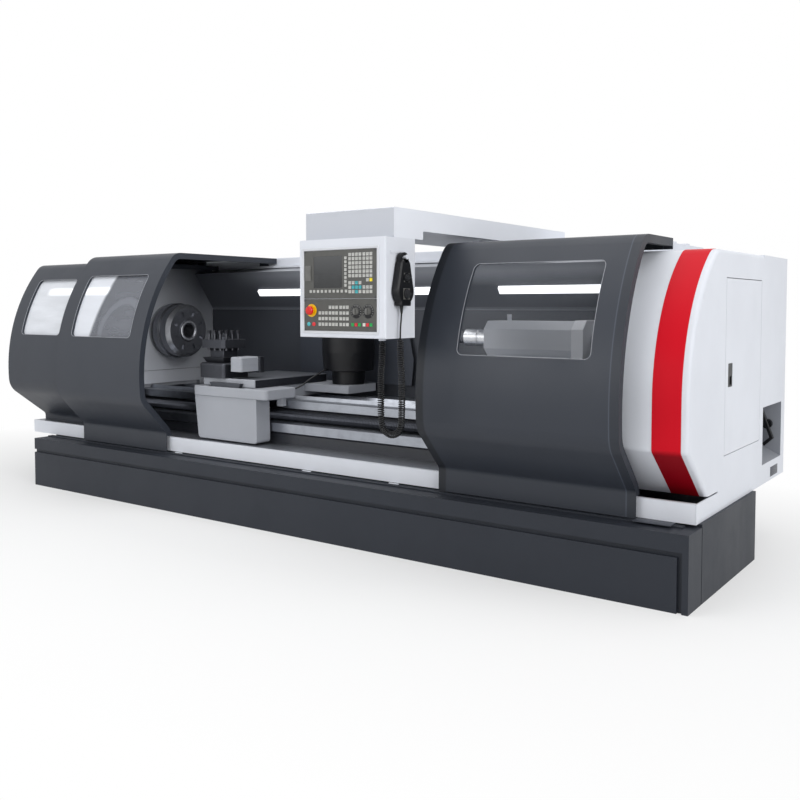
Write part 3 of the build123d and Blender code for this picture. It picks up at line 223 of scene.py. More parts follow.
# Machined or ground metal with lengthwise or turned marks
markSet = dict(scale=9.0, tones=(0.86, 1.10), depth=0.0003, duller=(-0.06, 0.10),
               filmScale=14.0, filmTone=0.45, filmDuller=0.1)


def metalFinish(name, colour, roughness=0.3, marks=(2.0, 240.0, 240.0), depth=0.12, stain=0.25):
    metal = Finish(name, Metallic=1.0)
    lines = metal.noise(markSet["scale"], 5.0, 0.6, metal.stretched(*marks))
    film = metal.ramp(metal.noise(markSet["filmScale"], 5.0, 0.6), 0.42, 0.72)
    darker, lighter = (shade(colour, factor) for factor in markSet["tones"])
    tone = metal.mix(lines, darker, lighter)
    oiled = metal.mix(film * stain, tone, shade(colour, markSet["filmTone"]))
    smooth, dull = (roughness + change for change in markSet["duller"])
    rough = metal.ramp(lines, 0.2, 0.8, smooth, dull) + film * markSet["filmDuller"]
    metal.feed(Base_Color=oiled, Roughness=rough)
    metal.bump(lines, depth, markSet["depth"])
    metal.tone = oiled
    return metal


# Moulded plastic and rubber, a little shinier where it is handled
mouldSet = dict(wearScale=38.0, wearTones=(0.94, 1.10), wearShine=0.10, refraction=1.5,
                grainDepth=0.0002)


def plasticFinish(name, colour, roughness=0.5, grain=0.25, grainScale=1800.0, shine=0.4):
    plastic = Finish(name, IOR=mouldSet["refraction"], Specular_IOR_Level=shine)
    handled = plastic.ramp(plastic.noise(mouldSet["wearScale"], 5.0, 0.6), 0.4, 0.75)
    darker, lighter = (shade(colour, factor) for factor in mouldSet["wearTones"])
    tone = plastic.mix(handled, darker, lighter)
    plastic.feed(Base_Color=tone, Roughness=roughness - handled * mouldSet["wearShine"])
    plastic.bump(plastic.noise(grainScale, 2.0), grain, mouldSet["grainDepth"])
    return plastic


charcoal = fromScreen(50, 54, 62)
paints = {
    "charcoal_paint": dict(colour=charcoal, roughness=0.42, peel=0.16),
    "base_paint": dict(colour=fromScreen(38, 42, 50), roughness=0.50, peel=0.30, peelScale=420.0,
                       dust=0.25),
    "light_grey_paint": dict(colour=fromScreen(166, 169, 176), roughness=0.40, dust=0.16),
    "inner_grey_paint": dict(colour=fromScreen(66, 69, 76), roughness=0.46, dust=0.10),
    "casting_paint": dict(colour=fromScreen(150, 152, 158), roughness=0.45, peel=0.4,
                          peelScale=260.0),
    "white_paint": dict(colour=fromScreen(216, 219, 226), roughness=0.42, dust=0.05),
    "motor_black": dict(colour=fromScreen(40, 41, 45), roughness=0.45, peel=0.3, peelScale=300.0),
    "bell_black": dict(colour=fromScreen(13, 14, 18), roughness=0.36, peel=0.2),
    "guard_grey": dict(colour=fromScreen(66, 70, 79), roughness=0.40, dust=0.1),
    "bezel_grey": dict(colour=fromScreen(206, 208, 213), roughness=0.38, dust=0.05),
}
metals = {
    "tray_steel": dict(colour=fromScreen(150, 153, 160), roughness=0.40, marks=(3.0, 90.0, 90.0),
                       stain=0.45),
    "ground_steel": dict(colour=fromScreen(205, 207, 211), roughness=0.22, marks=(60.0, 4.0, 4.0)),
    "dark_steel": dict(colour=fromScreen(78, 80, 86), roughness=0.46, marks=(30.0, 30.0, 12.0),
                       depth=0.05),
    "tool_steel": dict(colour=fromScreen(84, 85, 90), roughness=0.32, marks=(30.0, 30.0, 2.0)),
    "wheel_chrome": dict(colour=fromScreen(210, 211, 215), roughness=0.16, marks=(20.0, 20.0, 20.0),
                         depth=0.02),
}
plastics = {
    "black_plastic": dict(colour=fromScreen(16, 17, 20), roughness=0.40, grain=0.15, shine=0.25),
    "belt_rubber": dict(colour=fromScreen(28, 28, 30), roughness=0.7),
    "hose_rubber": dict(colour=fromScreen(22, 22, 25), roughness=0.45),
    "cord_black": dict(colour=fromScreen(15, 16, 19), roughness=0.34, grain=0.06, shine=0.35),
    "stop_yellow": dict(colour=fromScreen(240, 184, 16), roughness=0.3, grain=0.05),
    "stop_red": dict(colour=fromScreen(206, 30, 24), roughness=0.25, grain=0.04),
    "dial_grey": dict(colour=fromScreen(96, 96, 93), roughness=0.42),
    "knob_grey": dict(colour=fromScreen(44, 45, 48), roughness=0.4),
    "panel_grey": dict(colour=fromScreen(72, 72, 69), roughness=0.46, grain=0.12),
    "key_grey": dict(colour=fromScreen(188, 188, 184), roughness=0.42, grain=0.08),
}
finishes = {}
for maker, table in ((paintFinish, paints), (metalFinish, metals), (plasticFinish, plastics)):
    for slotName, settings in table.items():
        finishes[slotName] = maker(slotName, **settings)
print("paints, metals and plastics made")


# Gives a piece its finish, and a new piece its body, its slot and the nodes it stands for
def dressed(piece, finish, body=None, replaced=()):
    piece.data.materials.clear()
    piece.data.materials.append(finish.material)
    if body:
        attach(piece, body)
    if replaced:
        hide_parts(*replaced)
    return piece


# Cords: the routes' points are the control points of smooth splines
def smoothSpline(name, points, diameter=0.0, sides=3, steps=12):
    curve = bpy.data.curves.new(name, "CURVE")
    curve.dimensions = "3D"
    curve.resolution_u = steps
    curve.bevel_depth = diameter / 2
    curve.bevel_resolution = sides
    curve.use_fill_caps = True
    spline = curve.splines.new("NURBS")
    spline.points.add(len(points) - 1)
    for point, place in zip(spline.points, points):
        point.co = (*place, 1.0)
    spline.order_u = 3
    spline.use_endpoint_u = True
    made = bpy.data.objects.new(name, curve)
    bpy.context.scene.collection.objects.link(made)
    return made


hoseSet = dict(diameter=0.009, length=0.323, route=(
    (1812, 445, 690), (1905, 445, 690), (1960, 530, 769), (1960, 640, 800)))
cableSet = dict(diameter=0.007, length=0.134, route=(
    (3178, -293, 1172), (3178, -293, 1128), (3175, -298, 1082), (3175, -298, 1038)))
coilSet = dict(wire=0.0064, across=0.0310, pitch=0.0096, turnPoints=14, leadIn=0.012, route=(
    (3175, -298, 1038), (3175, -298, 965), (3178, -293, 890), (3173, -284, 800), (3164, -272, 715),
    (3157, -267, 655), (3137, -265, 628), (3105, -264, 617), (3073, -265, 628), (3053, -266, 655),
    (3049, -267, 715), (3051, -268, 790), (3049, -267, 870), (3056, -265, 950), (3056, -265, 1023)))


def curlyPoints(settings):  # a helix around the smooth line through the route
    guide = smoothSpline("coil_guide", [at(*point) for point in settings["route"]], steps=24)
    line = bpy.data.meshes.new_from_object(guide)
    path = [vertex.co.copy() for vertex in line.vertices]
    bpy.data.objects.remove(guide)
    steps = [0.0]
    for before, after in zip(path, path[1:]):
        steps.append(steps[-1] + (after - before).length)
    total = steps[-1]
    count = int(total / settings["pitch"]) * settings["turnPoints"]
    radius = (settings["across"] - settings["wire"]) / 2
    points = []
    side = Vector((1, 0, 0))
    index = 0
    for number in range(count + 1):
        reach = total * number / count
        while index < len(path) - 2 and steps[index + 1] < reach:
            index += 1
        along = (path[index + 1] - path[index]).normalized()
        middle = path[index] + along * (reach - steps[index])
        side = (side - along * side.dot(along)).normalized()
        across = along.cross(side)
        turn = 2 * math.pi * number / settings["turnPoints"]
        swing = radius * min(1.0, reach / settings["leadIn"], (total - reach) / settings["leadIn"])
        points.append(middle + (side * math.cos(turn) + across * math.sin(turn)) * swing)
    length = sum((after - before).length for before, after in zip(points, points[1:]))
    return points, length


hoseRoute = [at(*point) for point in hoseSet["route"]]
hose = smoothSpline("carriage_hose_line", hoseRoute, hoseSet["diameter"])
dressed(hose, finishes["hose_rubber"], "carriage", ["carriage_hose"])
cableRoute = [at(*point) for point in cableSet["route"]]
cable = smoothSpline("pendant_cable_line", cableRoute, cableSet["diameter"])
dressed(cable, finishes["cord_black"], "control_gantry", ["pendant_cable"])
coilPoints, coilLength = curlyPoints(coilSet)
coil = smoothSpline("pendant_curly_cord", coilPoints, coilSet["wire"], sides=1, steps=2)
dressed(coil, finishes["cord_black"], "control_gantry", ["pendant_coil"])
print("cords made, curly cord", round(coilLength, 2), "m of wire")


# Clear panes: see-through sheet with haze, and painted light: a bright strip where the lit wall stands
# behind, a glowing highlight line and a highlight ring
black, white = (0.0, 0.0, 0.0, 1.0), (1.0, 1.0, 1.0, 1.0)
paneSet = dict(
    refraction=1.5, shine=0.25, cloudScale=3.0, cloudStretch=(0.5, 1.0, 3.0), cloudTones=(0.9, 1.05),
    lean=0.22, leanHeight=1.17, leanSoft=0.012, litAlpha=0.92, litTone=fromScreen(222, 225, 232),
    highlightBand=(0.012, 0.030), highlightStart=(30, 90), highlightTone=fromScreen(250, 252, 255), glow=0.25,
    ringBand=(0.012, 0.026), ringShare=0.5, ringHighlight=1.5)


def paneFinish(name, tone, clearness, haze=0.10, brightEnd=None, highlightHeight=None, ring=None):
    pane = Finish(name, IOR=paneSet["refraction"], Emission_Strength=1.0 if highlightHeight else 0.0,
                  Specular_IOR_Level=paneSet["shine"])
    stretched = pane.stretched(*paneSet["cloudStretch"])
    cloud = pane.ramp(pane.noise(paneSet["cloudScale"], 5.0, 0.6, stretched), 0.35, 0.75)
    darker, lighter = (shade(tone, factor) for factor in paneSet["cloudTones"])
    colour = pane.mix(cloud, darker, lighter)
    alpha = cloud * haze + (1.0 - clearness)
    # painted light: a bright, less clear strip where the lit wall stands behind the pane
    if brightEnd:
        slant = pane.axis("X") - pane.axis("Z") * paneSet["lean"]
        edge = at(brightEnd, 0, 0).x - paneSet["leanHeight"] * paneSet["lean"]
        litStrip = pane.ramp(slant, edge - paneSet["leanSoft"], edge + paneSet["leanSoft"], 1.0, 0.0)
        colour = pane.mix(litStrip, colour, paneSet["litTone"])
        alpha = alpha + litStrip * (paneSet["litAlpha"] - (1.0 - clearness))
    # painted highlight: a thin glowing line across the pane at the given height
    if highlightHeight:
        away = (pane.axis("Z") - highlightHeight / 1000).absolute()
        streak = pane.ramp(away, *paneSet["highlightBand"], 1.0, 0.0)
        if brightEnd:
            runs = litStrip
        else:
            runs = pane.ramp(pane.axis("X"), *(at(x, 0, 0).x for x in paneSet["highlightStart"]))
        colour = pane.mix(streak * runs, colour, paneSet["highlightTone"])
        pane.feed(Emission_Color=pane.mix(streak * runs * paneSet["glow"], black, white))
    # painted highlight: a lighter ring on the pane
    if ring:
        ringX, ringZ, radius = ring
        away = pane.around("Z", at(ringX, 0, 0).x, ringZ / 1000, first="X")
        band = pane.ramp((away - radius / 1000).absolute(), *paneSet["ringBand"], 1.0, 0.0)
        colour = pane.mix(band * paneSet["ringShare"], colour, shade(tone, paneSet["ringHighlight"]))
    pane.feed(Base_Color=colour, Alpha=alpha, Roughness=cloud * 0.08 + 0.08)
    return pane


# Work lamps: a milky bar with fine ribs
lampSet = dict(glass=fromScreen(240, 244, 248), power=1.6, ribs=90.0, ribDepth=0.0004,
               glows=(fromScreen(232, 240, 246), fromScreen(252, 253, 255)))


def lampFinish():
    lamp = Finish("lamp_lens", Base_Color=lampSet["glass"], Roughness=0.35,
                  Emission_Strength=lampSet["power"])
    ribs = (lamp.axis("X") * lampSet["ribs"]).part()
    lamp.feed(Emission_Color=lamp.mix(lamp.ramp(ribs, 0.0, 0.08), *lampSet["glows"]))
    lamp.bump(ribs, 0.1, lampSet["ribDepth"])
    return lamp


# Screen: dark glass, a little lighter at the top
screenSet = dict(low=1249, high=1386, tones=(fromScreen(26, 28, 30), fromScreen(38, 41, 44)))


def screenFinish():
    glass = Finish("screen_black", IOR=1.5)
    fade = glass.ramp(glass.axis("Z"), at(0, 0, screenSet["low"]).z, at(0, 0, screenSet["high"]).z)
    smears = glass.ramp(glass.noise(30.0, 4.0), 0.3, 0.8, 0.12, 0.22)
    glass.feed(Base_Color=glass.mix(fade, *screenSet["tones"]), Roughness=smears)
    return glass


# Bed: ground ways and lower rail, dark paint between them
bedSet = dict(wayLow=588, railLow=468, railHigh=529, railBack=345, iron=fromScreen(160, 164, 172),
              paint=fromScreen(50, 52, 58))


def bedFinish():
    bed = metalFinish("bed_iron", bedSet["iron"], 0.28, (1.5, 160.0, 160.0), stain=0.35)
    height, depth = bed.axis("Z"), bed.axis("Y")
    way = height > at(0, 0, bedSet["wayLow"]).z
    inHeight = (height > at(0, 0, bedSet["railLow"]).z) * (height < at(0, 0, bedSet["railHigh"]).z)
    rail = inHeight * (depth < at(0, bedSet["railBack"], 0).y)
    ground = (way + rail).clamped()
    bed.feed(Metallic=ground, Base_Color=bed.mix(ground, bedSet["paint"], bed.tone))
    return bed


# Cross slide: painted, ground on top, in shade on its right
slideSet = dict(top=755.5, front=221, right=1803, paint=fromScreen(170, 173, 180),
                marks=(1.5, 120.0, 120.0), shadow=fromScreen(34, 36, 42),
                ground=(fromScreen(118, 121, 128), fromScreen(148, 151, 158)))


def crossSlideFinish():
    slide = paintFinish("cross_slide_steel", slideSet["paint"], 0.36, dust=0.1)
    behindFront = slide.axis("Y") > at(0, slideSet["front"], 0).y
    topFace = (slide.axis("Z") > at(0, 0, slideSet["top"]).z) * behindFront
    rightFace = slide.axis("X") > at(slideSet["right"], 0, 0).x
    marks = slide.noise(8.0, 5.0, 0.6, slide.stretched(*slideSet["marks"]))
    tone = slide.mix(topFace, slide.tone, slide.mix(marks, *slideSet["ground"]))
    tone = slide.mix(rightFace * (1.0 - topFace), tone, slideSet["shadow"])
    slide.feed(Base_Color=tone, Metallic=topFace * 0.7, Roughness=0.42 - topFace * 0.10)
    return slide


# Face drum: blackened steel with a turned bevel lightened as a painted highlight, and a bright hub,
# radii in metres
drumSet = dict(middleY=630, middleZ=1.010, rings=2600.0, hub=(0.0525, 0.0705), hubFace=784.5,
               bevel=(0.150, 0.1725), bevelFace=763, bevelShare=0.7,
               blacks=(fromScreen(112, 114, 120), fromScreen(146, 148, 155)),
               turned=fromScreen(186, 188, 194), bright=fromScreen(226, 228, 233))


def drumFinish():
    drum = Finish("drum_steel", Metallic=0.8)
    away = drum.around("Z", at(0, drumSet["middleY"], 0).y, drumSet["middleZ"])

    def ringOf(radii, face):
        return (away > radii[0]) * (away < radii[1]) * (drum.axis("X") > at(face, 0, 0).x)

    hub = ringOf(drumSet["hub"], drumSet["hubFace"])
    bevel = ringOf(drumSet["bevel"], drumSet["bevelFace"])
    tone = drum.mix(drum.noise(26.0, 4.0), *drumSet["blacks"])
    # painted highlight: the turned bevel is lightened
    tone = drum.mix(bevel * drumSet["bevelShare"], tone, drumSet["turned"])
    drum.feed(Base_Color=drum.mix(hub, tone, drumSet["bright"]), Roughness=0.27 - hub * 0.10)
    drum.bump((away * drumSet["rings"]).sine() * 0.5 + 0.5, 0.06, 0.0002)
    return drum


# Wall between the headstock and the work space: painted shade, darker higher up and further back
wallSet = dict(low=0.72, high=1.32, near=560, far=900, shares=(0.55, 0.45),
               paint=fromScreen(212, 215, 222), shadow=fromScreen(70, 73, 80))


def bulkheadFinish():
    wall = paintFinish("bulkhead_grey", wallSet["paint"], 0.42, dust=0.08)
    climb = wall.ramp(wall.axis("Z"), wallSet["low"], wallSet["high"])
    back = wall.ramp(wall.axis("Y"), at(0, wallSet["near"], 0).y, at(0, wallSet["far"], 0).y)
    # painted shade: the wall darkens higher up and further back
    dark = (climb * wallSet["shares"][0] + back * wallSet["shares"][1]).clamped()
    wall.feed(Base_Color=wall.mix(dark, wall.tone, wallSet["shadow"]))
    return wall


# Right door: its outer margins are folded back a little; their darker tone is painted shade, and the
# bright line near its right edge is a painted highlight
marginSet = dict(left=(3141, 3149), right=(4012, 4018), rightShare=0.35, marginShadeTone=0.45,
                 edgeHighlight=4011, edgeHighlightBand=(0.0015, 0.0035), edgeHighlightTone=1.9)


def rightDoorFinish():
    door = paintFinish("right_door_charcoal", charcoal, 0.42, 0.16)
    across = door.axis("X")
    leftMargin = door.ramp(across, *(at(x, 0, 0).x for x in marginSet["left"]), 1.0, 0.0)
    rightMargin = door.ramp(across, *(at(x, 0, 0).x for x in marginSet["right"]))
    fromEdgeHighlight = (across - at(marginSet["edgeHighlight"], 0, 0).x).absolute()
    edgeHighlight = door.ramp(fromEdgeHighlight, *marginSet["edgeHighlightBand"], 1.0, 0.0)
    # painted shade on the outer margins
    shadedMargin = leftMargin + rightMargin * marginSet["rightShare"]
    tone = door.mix(shadedMargin, door.tone, shade(charcoal, marginSet["marginShadeTone"]))
    # painted highlight: a thin bright line near the right edge
    door.feed(Base_Color=door.mix(edgeHighlight, tone, shade(charcoal, marginSet["edgeHighlightTone"])))
    return door


# Canopy over the work lamps: lit at its top right, with a light lower edge
canopySet = dict(heights=(1.28, 1.36), along=(900, 1600), foot=1166, paint=fromScreen(80, 83, 90),
                 lit=fromScreen(150, 153, 160), edge=fromScreen(104, 107, 114))


def canopyFinish():
    canopy = paintFinish("canopy_grey", canopySet["paint"], 0.44, dust=0.08)
    start, end = (at(x, 0, 0).x for x in canopySet["along"])
    high = canopy.ramp(canopy.axis("Z"), *canopySet["heights"])
    upper = high * canopy.ramp(canopy.axis("X"), start, end)
    foot = canopy.axis("Z") < at(0, 0, canopySet["foot"]).z
    tone = canopy.mix(upper, canopy.tone, canopySet["lit"])
    canopy.feed(Base_Color=canopy.mix(foot, tone, canopySet["edge"]))
    return canopy


# Parts with one region of another tone: the tailstock's end cap, painted shade on the dovetail's end
# under the slide, painted shade on the band's lower end under the chin and painted shade on the beam's
# front, which is in half shade
partSet = dict(capFrom=3565, cap=fromScreen(238, 240, 246),
               dovetail=((1450, 184, 709), (1740, 217, 738)), dovetailShade=fromScreen(66, 69, 76),
               chin=(0.590, 0.618), bandShade=fromScreen(136, 2, 18),
               beamFront=0.001, beamShade=fromScreen(190, 193, 200))


def tailstockFinish():
    body = paintFinish("tailstock_grey", fromScreen(212, 215, 222), 0.42, dust=0.10)
    cap = body.axis("X") > at(partSet["capFrom"], 0, 0).x
    body.feed(Base_Color=body.mix(cap, body.tone, partSet["cap"]))
    return body


def saddleFinish():
    saddle = paintFinish("saddle_grey", fromScreen(166, 169, 176), 0.40, dust=0.16)
    dovetail = saddle.within(*(at(*corner) for corner in partSet["dovetail"]))
    # painted shade on the dovetail's end under the slide
    saddle.feed(Base_Color=saddle.mix(dovetail, saddle.tone, partSet["dovetailShade"]))
    return saddle


def bandFinish():
    band = paintFinish("band_red", fromScreen(200, 4, 28), 0.42, peel=0.05, dust=0.03, shine=0.15)
    low = band.ramp(band.axis("Z"), *partSet["chin"], 1.0, 0.0)
    band.feed(Base_Color=band.mix(low, band.tone, partSet["bandShade"]))
    return band


def beamFinish():
    beam = paintFinish("beam_white", fromScreen(226, 229, 236), 0.42, dust=0.05)
    front = min(corner[1] for corner in nodes["control_beam"].bound_box)
    facing = beam.axis("Y") < front + partSet["beamFront"]
    beam.feed(Base_Color=beam.mix(facing, beam.tone, partSet["beamShade"]))
    return beam


# Rear sheets: panel seams, screw heads and two sets of louvres on the back, and painted shade in grey
# inside the recess
rearSet = dict(
    paint=fromScreen(216, 219, 226), dark=fromScreen(70, 72, 78), screwTone=fromScreen(128, 131, 138),
    recessShade=fromScreen(142, 145, 152), back=1528.5, panel=0.985, seam=0.0012, seamsFrom=1290,
    screws=0.246, screwSize=0.006, screwRows=(0.36, 1.445), slats=36.0, slatShare=0.34,
    louvres=(((700, 1500, 520), (1300, 1540, 780)), ((2700, 1500, 520), (3300, 1540, 780))),
    recess=((4155, 1104.5, 395), (4284.4, 1463, 691)))


def rearFinish(name, recess):
    rear = paintFinish(name, rearSet["paint"], 0.42, dust=0.05)
    across, depth, height = (rear.axis(letter) for letter in "XYZ")
    edge = ((across / rearSet["panel"]).part() - 0.5).absolute()
    seam = edge > 0.5 - rearSet["seam"] / rearSet["panel"]
    seam = seam * (depth > at(0, rearSet["seamsFrom"], 0).y)
    sideways = ((across / rearSet["screws"]).part() - 0.5) * rearSet["screws"]
    low, high = ((height - row).absolute() for row in rearSet["screwRows"])
    upright = low.maths("MINIMUM", high)
    screw = (sideways * sideways + upright * upright) ** 0.5 < rearSet["screwSize"]
    screw = screw * (depth > at(0, rearSet["back"], 0).y)
    first, second = (rear.within(at(*start), at(*end)) for start, end in rearSet["louvres"])
    slits = (height * rearSet["slats"]).part() < rearSet["slatShare"]
    dark = (seam + (first + second) * slits).clamped()
    tone = rear.mix(dark, rear.tone, rearSet["dark"])
    tone = rear.mix(screw, tone, rearSet["screwTone"])
    if recess:
        # painted shade: grey inside the recess
        inside = rear.within(*(at(*corner) for corner in rearSet["recess"]))
        tone = rear.mix(inside, tone, rearSet["recessShade"])
    rear.feed(Base_Color=tone)
    return rear


finishes["bed_iron"] = bedFinish()
finishes["lamp_lens"] = lampFinish()
finishes["screen_black"] = screenFinish()
finishes["red_paint"] = bandFinish()
finishes["window_pane"] = paneFinish("window_pane", fromScreen(170, 176, 186), 0.97, haze=0.02)
ownFinishes = {
    "cross_slide": crossSlideFinish(),
    "spindle_drum": drumFinish(),
    "headstock_bulkhead": bulkheadFinish(),
    "rear_cabinet": rearFinish("rear_cabinet_white", True),
    "rear_hood": rearFinish("rear_hood_white", False),
    "right_door": rightDoorFinish(),
    "front_ledge": paintFinish("ledge_white", fromScreen(226, 229, 236), 0.42, dust=0.08),
    "saddle": saddleFinish(),
    "control_beam": beamFinish(),
    "light_canopy": canopyFinish(),
    "tailstock_body": tailstockFinish(),
    "tailstock_base": tailstockFinish(),
    "headstock_pane": paneFinish("headstock_pane", fromScreen(228, 231, 237), 0.10, highlightHeight=1262),
    "left_door_pane": paneFinish("left_door_pane", fromScreen(128, 131, 139), 0.42,
                                 brightEnd=716, highlightHeight=1262, ring=(960, 1010, 190)),
}
slotOf = {entry["node"]: entry["material_slot"] for entry in frame["record"]["subparts"]}
for nodeName, piece in nodes.items():
    dressed(piece, ownFinishes.get(nodeName, finishes[slotOf[nodeName]]))
print("frame nodes dressed")


# Small pieces: a primitive at its size and place, shaped in edit mode
def placed(name):  # names the new primitive and puts its place in its mesh
    piece = bpy.context.object
    piece.name = name
    bpy.ops.object.transform_apply(location=True, rotation=True, scale=True)
    return piece


def block(name, low, high, edge=0.0, segments=2):
    bpy.ops.object.select_all(action="DESELECT")
    middle, size = (low + high) / 2, high - low
    bpy.ops.mesh.primitive_cube_add(size=1, location=middle, scale=size)
    piece = placed(name)
    if edge:
        softened(piece, edge, segments)
    return piece


def roundBar(name, middle, radius, depth, axis="Z", sides=32, edge=0.0):
    bpy.ops.object.select_all(action="DESELECT")
    turns = {"X": (0, math.pi / 2, 0), "Y": (math.pi / 2, 0, 0), "Z": (0, 0, 0)}
    bpy.ops.mesh.primitive_cylinder_add(vertices=sides, radius=radius, depth=depth, location=middle,
                                        rotation=turns[axis])
    piece = placed(name)
    if edge:
        softened(piece, edge, 2)
    return piece


def active(piece):
    bpy.ops.object.select_all(action="DESELECT")
    piece.select_set(True)
    bpy.context.view_layer.objects.active = piece


def softened(piece, width, segments=2):
    bevel = piece.modifiers.new("edges", "BEVEL")
    bevel.width = width
    bevel.segments = segments
    bevel.limit_method = "ANGLE"
    active(piece)
    bpy.ops.object.modifier_apply(modifier="edges")
    bpy.ops.object.shade_smooth_by_angle(angle=math.radians(35))


def chooseFaces(piece, test):  # leaves the piece in edit mode with the faces that pass chosen
    active(piece)
    bpy.ops.object.mode_set(mode="EDIT")
    bpy.ops.mesh.select_mode(type="FACE")
    bpy.ops.mesh.select_all(action="DESELECT")
    bpy.ops.object.mode_set(mode="OBJECT")
    for face in piece.data.polygons:
        face.select = test(face)
    bpy.ops.object.mode_set(mode="EDIT")


def pressedIn(piece, test, rim, depth, toward):  # insets the chosen faces and moves them in
    chooseFaces(piece, test)
    bpy.ops.mesh.inset(thickness=rim)
    if depth:
        bpy.ops.mesh.extrude_region_move(TRANSFORM_OT_translate={"value": Vector(toward) * depth})
    bpy.ops.object.mode_set(mode="OBJECT")


def copies(name, original, shifts):  # the original at each shift, each with its own mesh, joined
    made = []
    for shift in shifts:
        twin = original.copy()
        twin.data = original.data.copy()
        twin.data.transform(shift if isinstance(shift, Matrix) else Matrix.Translation(shift))
        bpy.context.scene.collection.objects.link(twin)
        made.append(twin)
    active(made[0])
    for twin in made:
        twin.select_set(True)
    bpy.ops.object.join()
    made[0].name = name
    bpy.data.objects.remove(original)
    return made[0]


def capScrews(name, places, radius, height, toward, body):  # socket heads, one mesh for each group
    axis = "XYZ"[max(range(3), key=lambda index: abs(toward[index]))]
    direction = Vector(toward)
    head = roundBar("screw_head", direction * height / 2, radius, height, axis, 20, radius * 0.12)
    pressedIn(head, lambda face: face.normal.dot(direction) > 0.95 and face.area > radius ** 2,
              radius * 0.42, -height * 0.55, direction)
    screws = copies(name, head, [at(*place) for place in places])
    return dressed(screws, finishes["tool_steel"], body)


# Window seals: a slim bead round each opening, on the curved front
sealSet = dict(radius=0.0014, corner=26, arcSteps=6, rise=22, archY=1020, archZ=760, archRadius=1107)
sealPlaces = (  # name, left, right, low and high, depth behind the doors' front, body
    ("cover_window_seal", (-88, 330, 987, 1342), 38, "machine"),
    ("left_window_seal", (514, 1080, 987, 1356), 0, "left_sliding_door"),
    ("right_window_seal", (3307, 3925, 962, 1358), 0, "right_sliding_door"),
)


def sealLine(window, inset):
    left, right, low, high = window
    corner = sealSet["corner"]
    flat = []
    middles = ((right - corner, high - corner), (left + corner, high - corner),
               (left + corner, low + corner), (right - corner, low + corner))
    for quarter, (middleX, middleZ) in enumerate(middles):
        for step in range(sealSet["arcSteps"] + 1):
            angle = math.radians(90 * (quarter + step / sealSet["arcSteps"]))
            flat.append((middleX + corner * math.cos(angle), middleZ + corner * math.sin(angle)))
    line = []
    for (x, z), (nextX, nextZ) in zip(flat, flat[1:] + flat[:1]):
        parts = max(1, int(abs(nextZ - z) / sealSet["rise"]))
        for part in range(parts):
            height = z + (nextZ - z) * part / parts
            radius = sealSet["archRadius"] - inset
            reach = (radius ** 2 - (height - sealSet["archZ"]) ** 2) ** 0.5
            line.append(at(x + (nextX - x) * part / parts, sealSet["archY"] - reach, height))
    return line


for sealName, window, inset, body in sealPlaces:
    curve = bpy.data.curves.new(sealName, "CURVE")
    curve.dimensions = "3D"
    curve.bevel_depth = sealSet["radius"]
    curve.bevel_resolution = 2
    bead = curve.splines.new("POLY")
    line = sealLine(window, inset)
    bead.points.add(len(line) - 1)
    for point, place in zip(bead.points, line):
        point.co = (*place, 1.0)
    bead.use_cyclic_u = True
    seal = bpy.data.objects.new(sealName, curve)
    bpy.context.scene.collection.objects.link(seal)
    active(seal)
    bpy.ops.object.convert(target="MESH")
    bpy.ops.object.shade_smooth()
    dressed(bpy.context.object, finishes["casting_paint"], body)
print("window seals made")

# Feed screw with a real thread between its journals
threadSet = dict(start=640.5, end=3849.5, turns=321, root=21.8, crest=24.9, flanks=(0.22, 0.5, 0.72),
                 steps=12, journal=15, journals=((606, 641), (3849, 3929)), y=336, z=560)
pitch = (threadSet["end"] - threadSet["start"]) / threadSet["turns"] / 1000
root, crest = threadSet["root"] / 1000, threadSet["crest"] / 1000
curve = bpy.data.curves.new("thread_profile", "CURVE")
curve.dimensions = "3D"
profile = curve.splines.new("POLY")
rising, falling, foot = threadSet["flanks"]
corners = ((0.0, root), (rising, crest), (falling, crest), (foot, root), (1.0, root))
profile.points.add(len(corners) - 1)
for point, (share, radius) in zip(profile.points, corners):
    point.co = (pitch * share, 0.0, radius, 1.0)
thread = bpy.data.objects.new("feed_screw_thread", curve)
bpy.context.scene.collection.objects.link(thread)
thread.location = at(threadSet["start"], threadSet["y"], threadSet["z"])
active(thread)
bpy.ops.object.convert(target="MESH")
thread = bpy.context.object
winding = thread.modifiers.new("winding", "SCREW")
winding.axis = "X"
winding.steps = winding.render_steps = threadSet["steps"]
winding.iterations = threadSet["turns"]
winding.screw_offset = pitch
winding.use_smooth_shade = False
winding.use_merge_vertices = True
bpy.ops.object.modifier_apply(modifier="winding")
bpy.ops.object.transform_apply(location=True, rotation=True, scale=True)
ends = []
for left, right in threadSet["journals"]:
    middle = at((left + right) / 2, threadSet["y"], threadSet["z"])
    ends.append(roundBar("journal", middle, threadSet["journal"] / 1000, (right - left) / 1000, "X",
                         edge=0.0015))
for left in (threadSet["start"], threadSet["end"] - 1):
    middle = at(left + 0.5, threadSet["y"], threadSet["z"])
    ends.append(roundBar("shoulder", middle, crest, 0.001, "X", edge=0.0003))
active(thread)
for end in ends:
    end.select_set(True)
bpy.ops.object.join()
oiledThread = metalFinish("oiled_thread", fromScreen(64, 66, 72), 0.30, (60.0, 4.0, 4.0))
dressed(thread, oiledThread, "feed_screw", ["lead_screw"])
print("feed screw thread made")

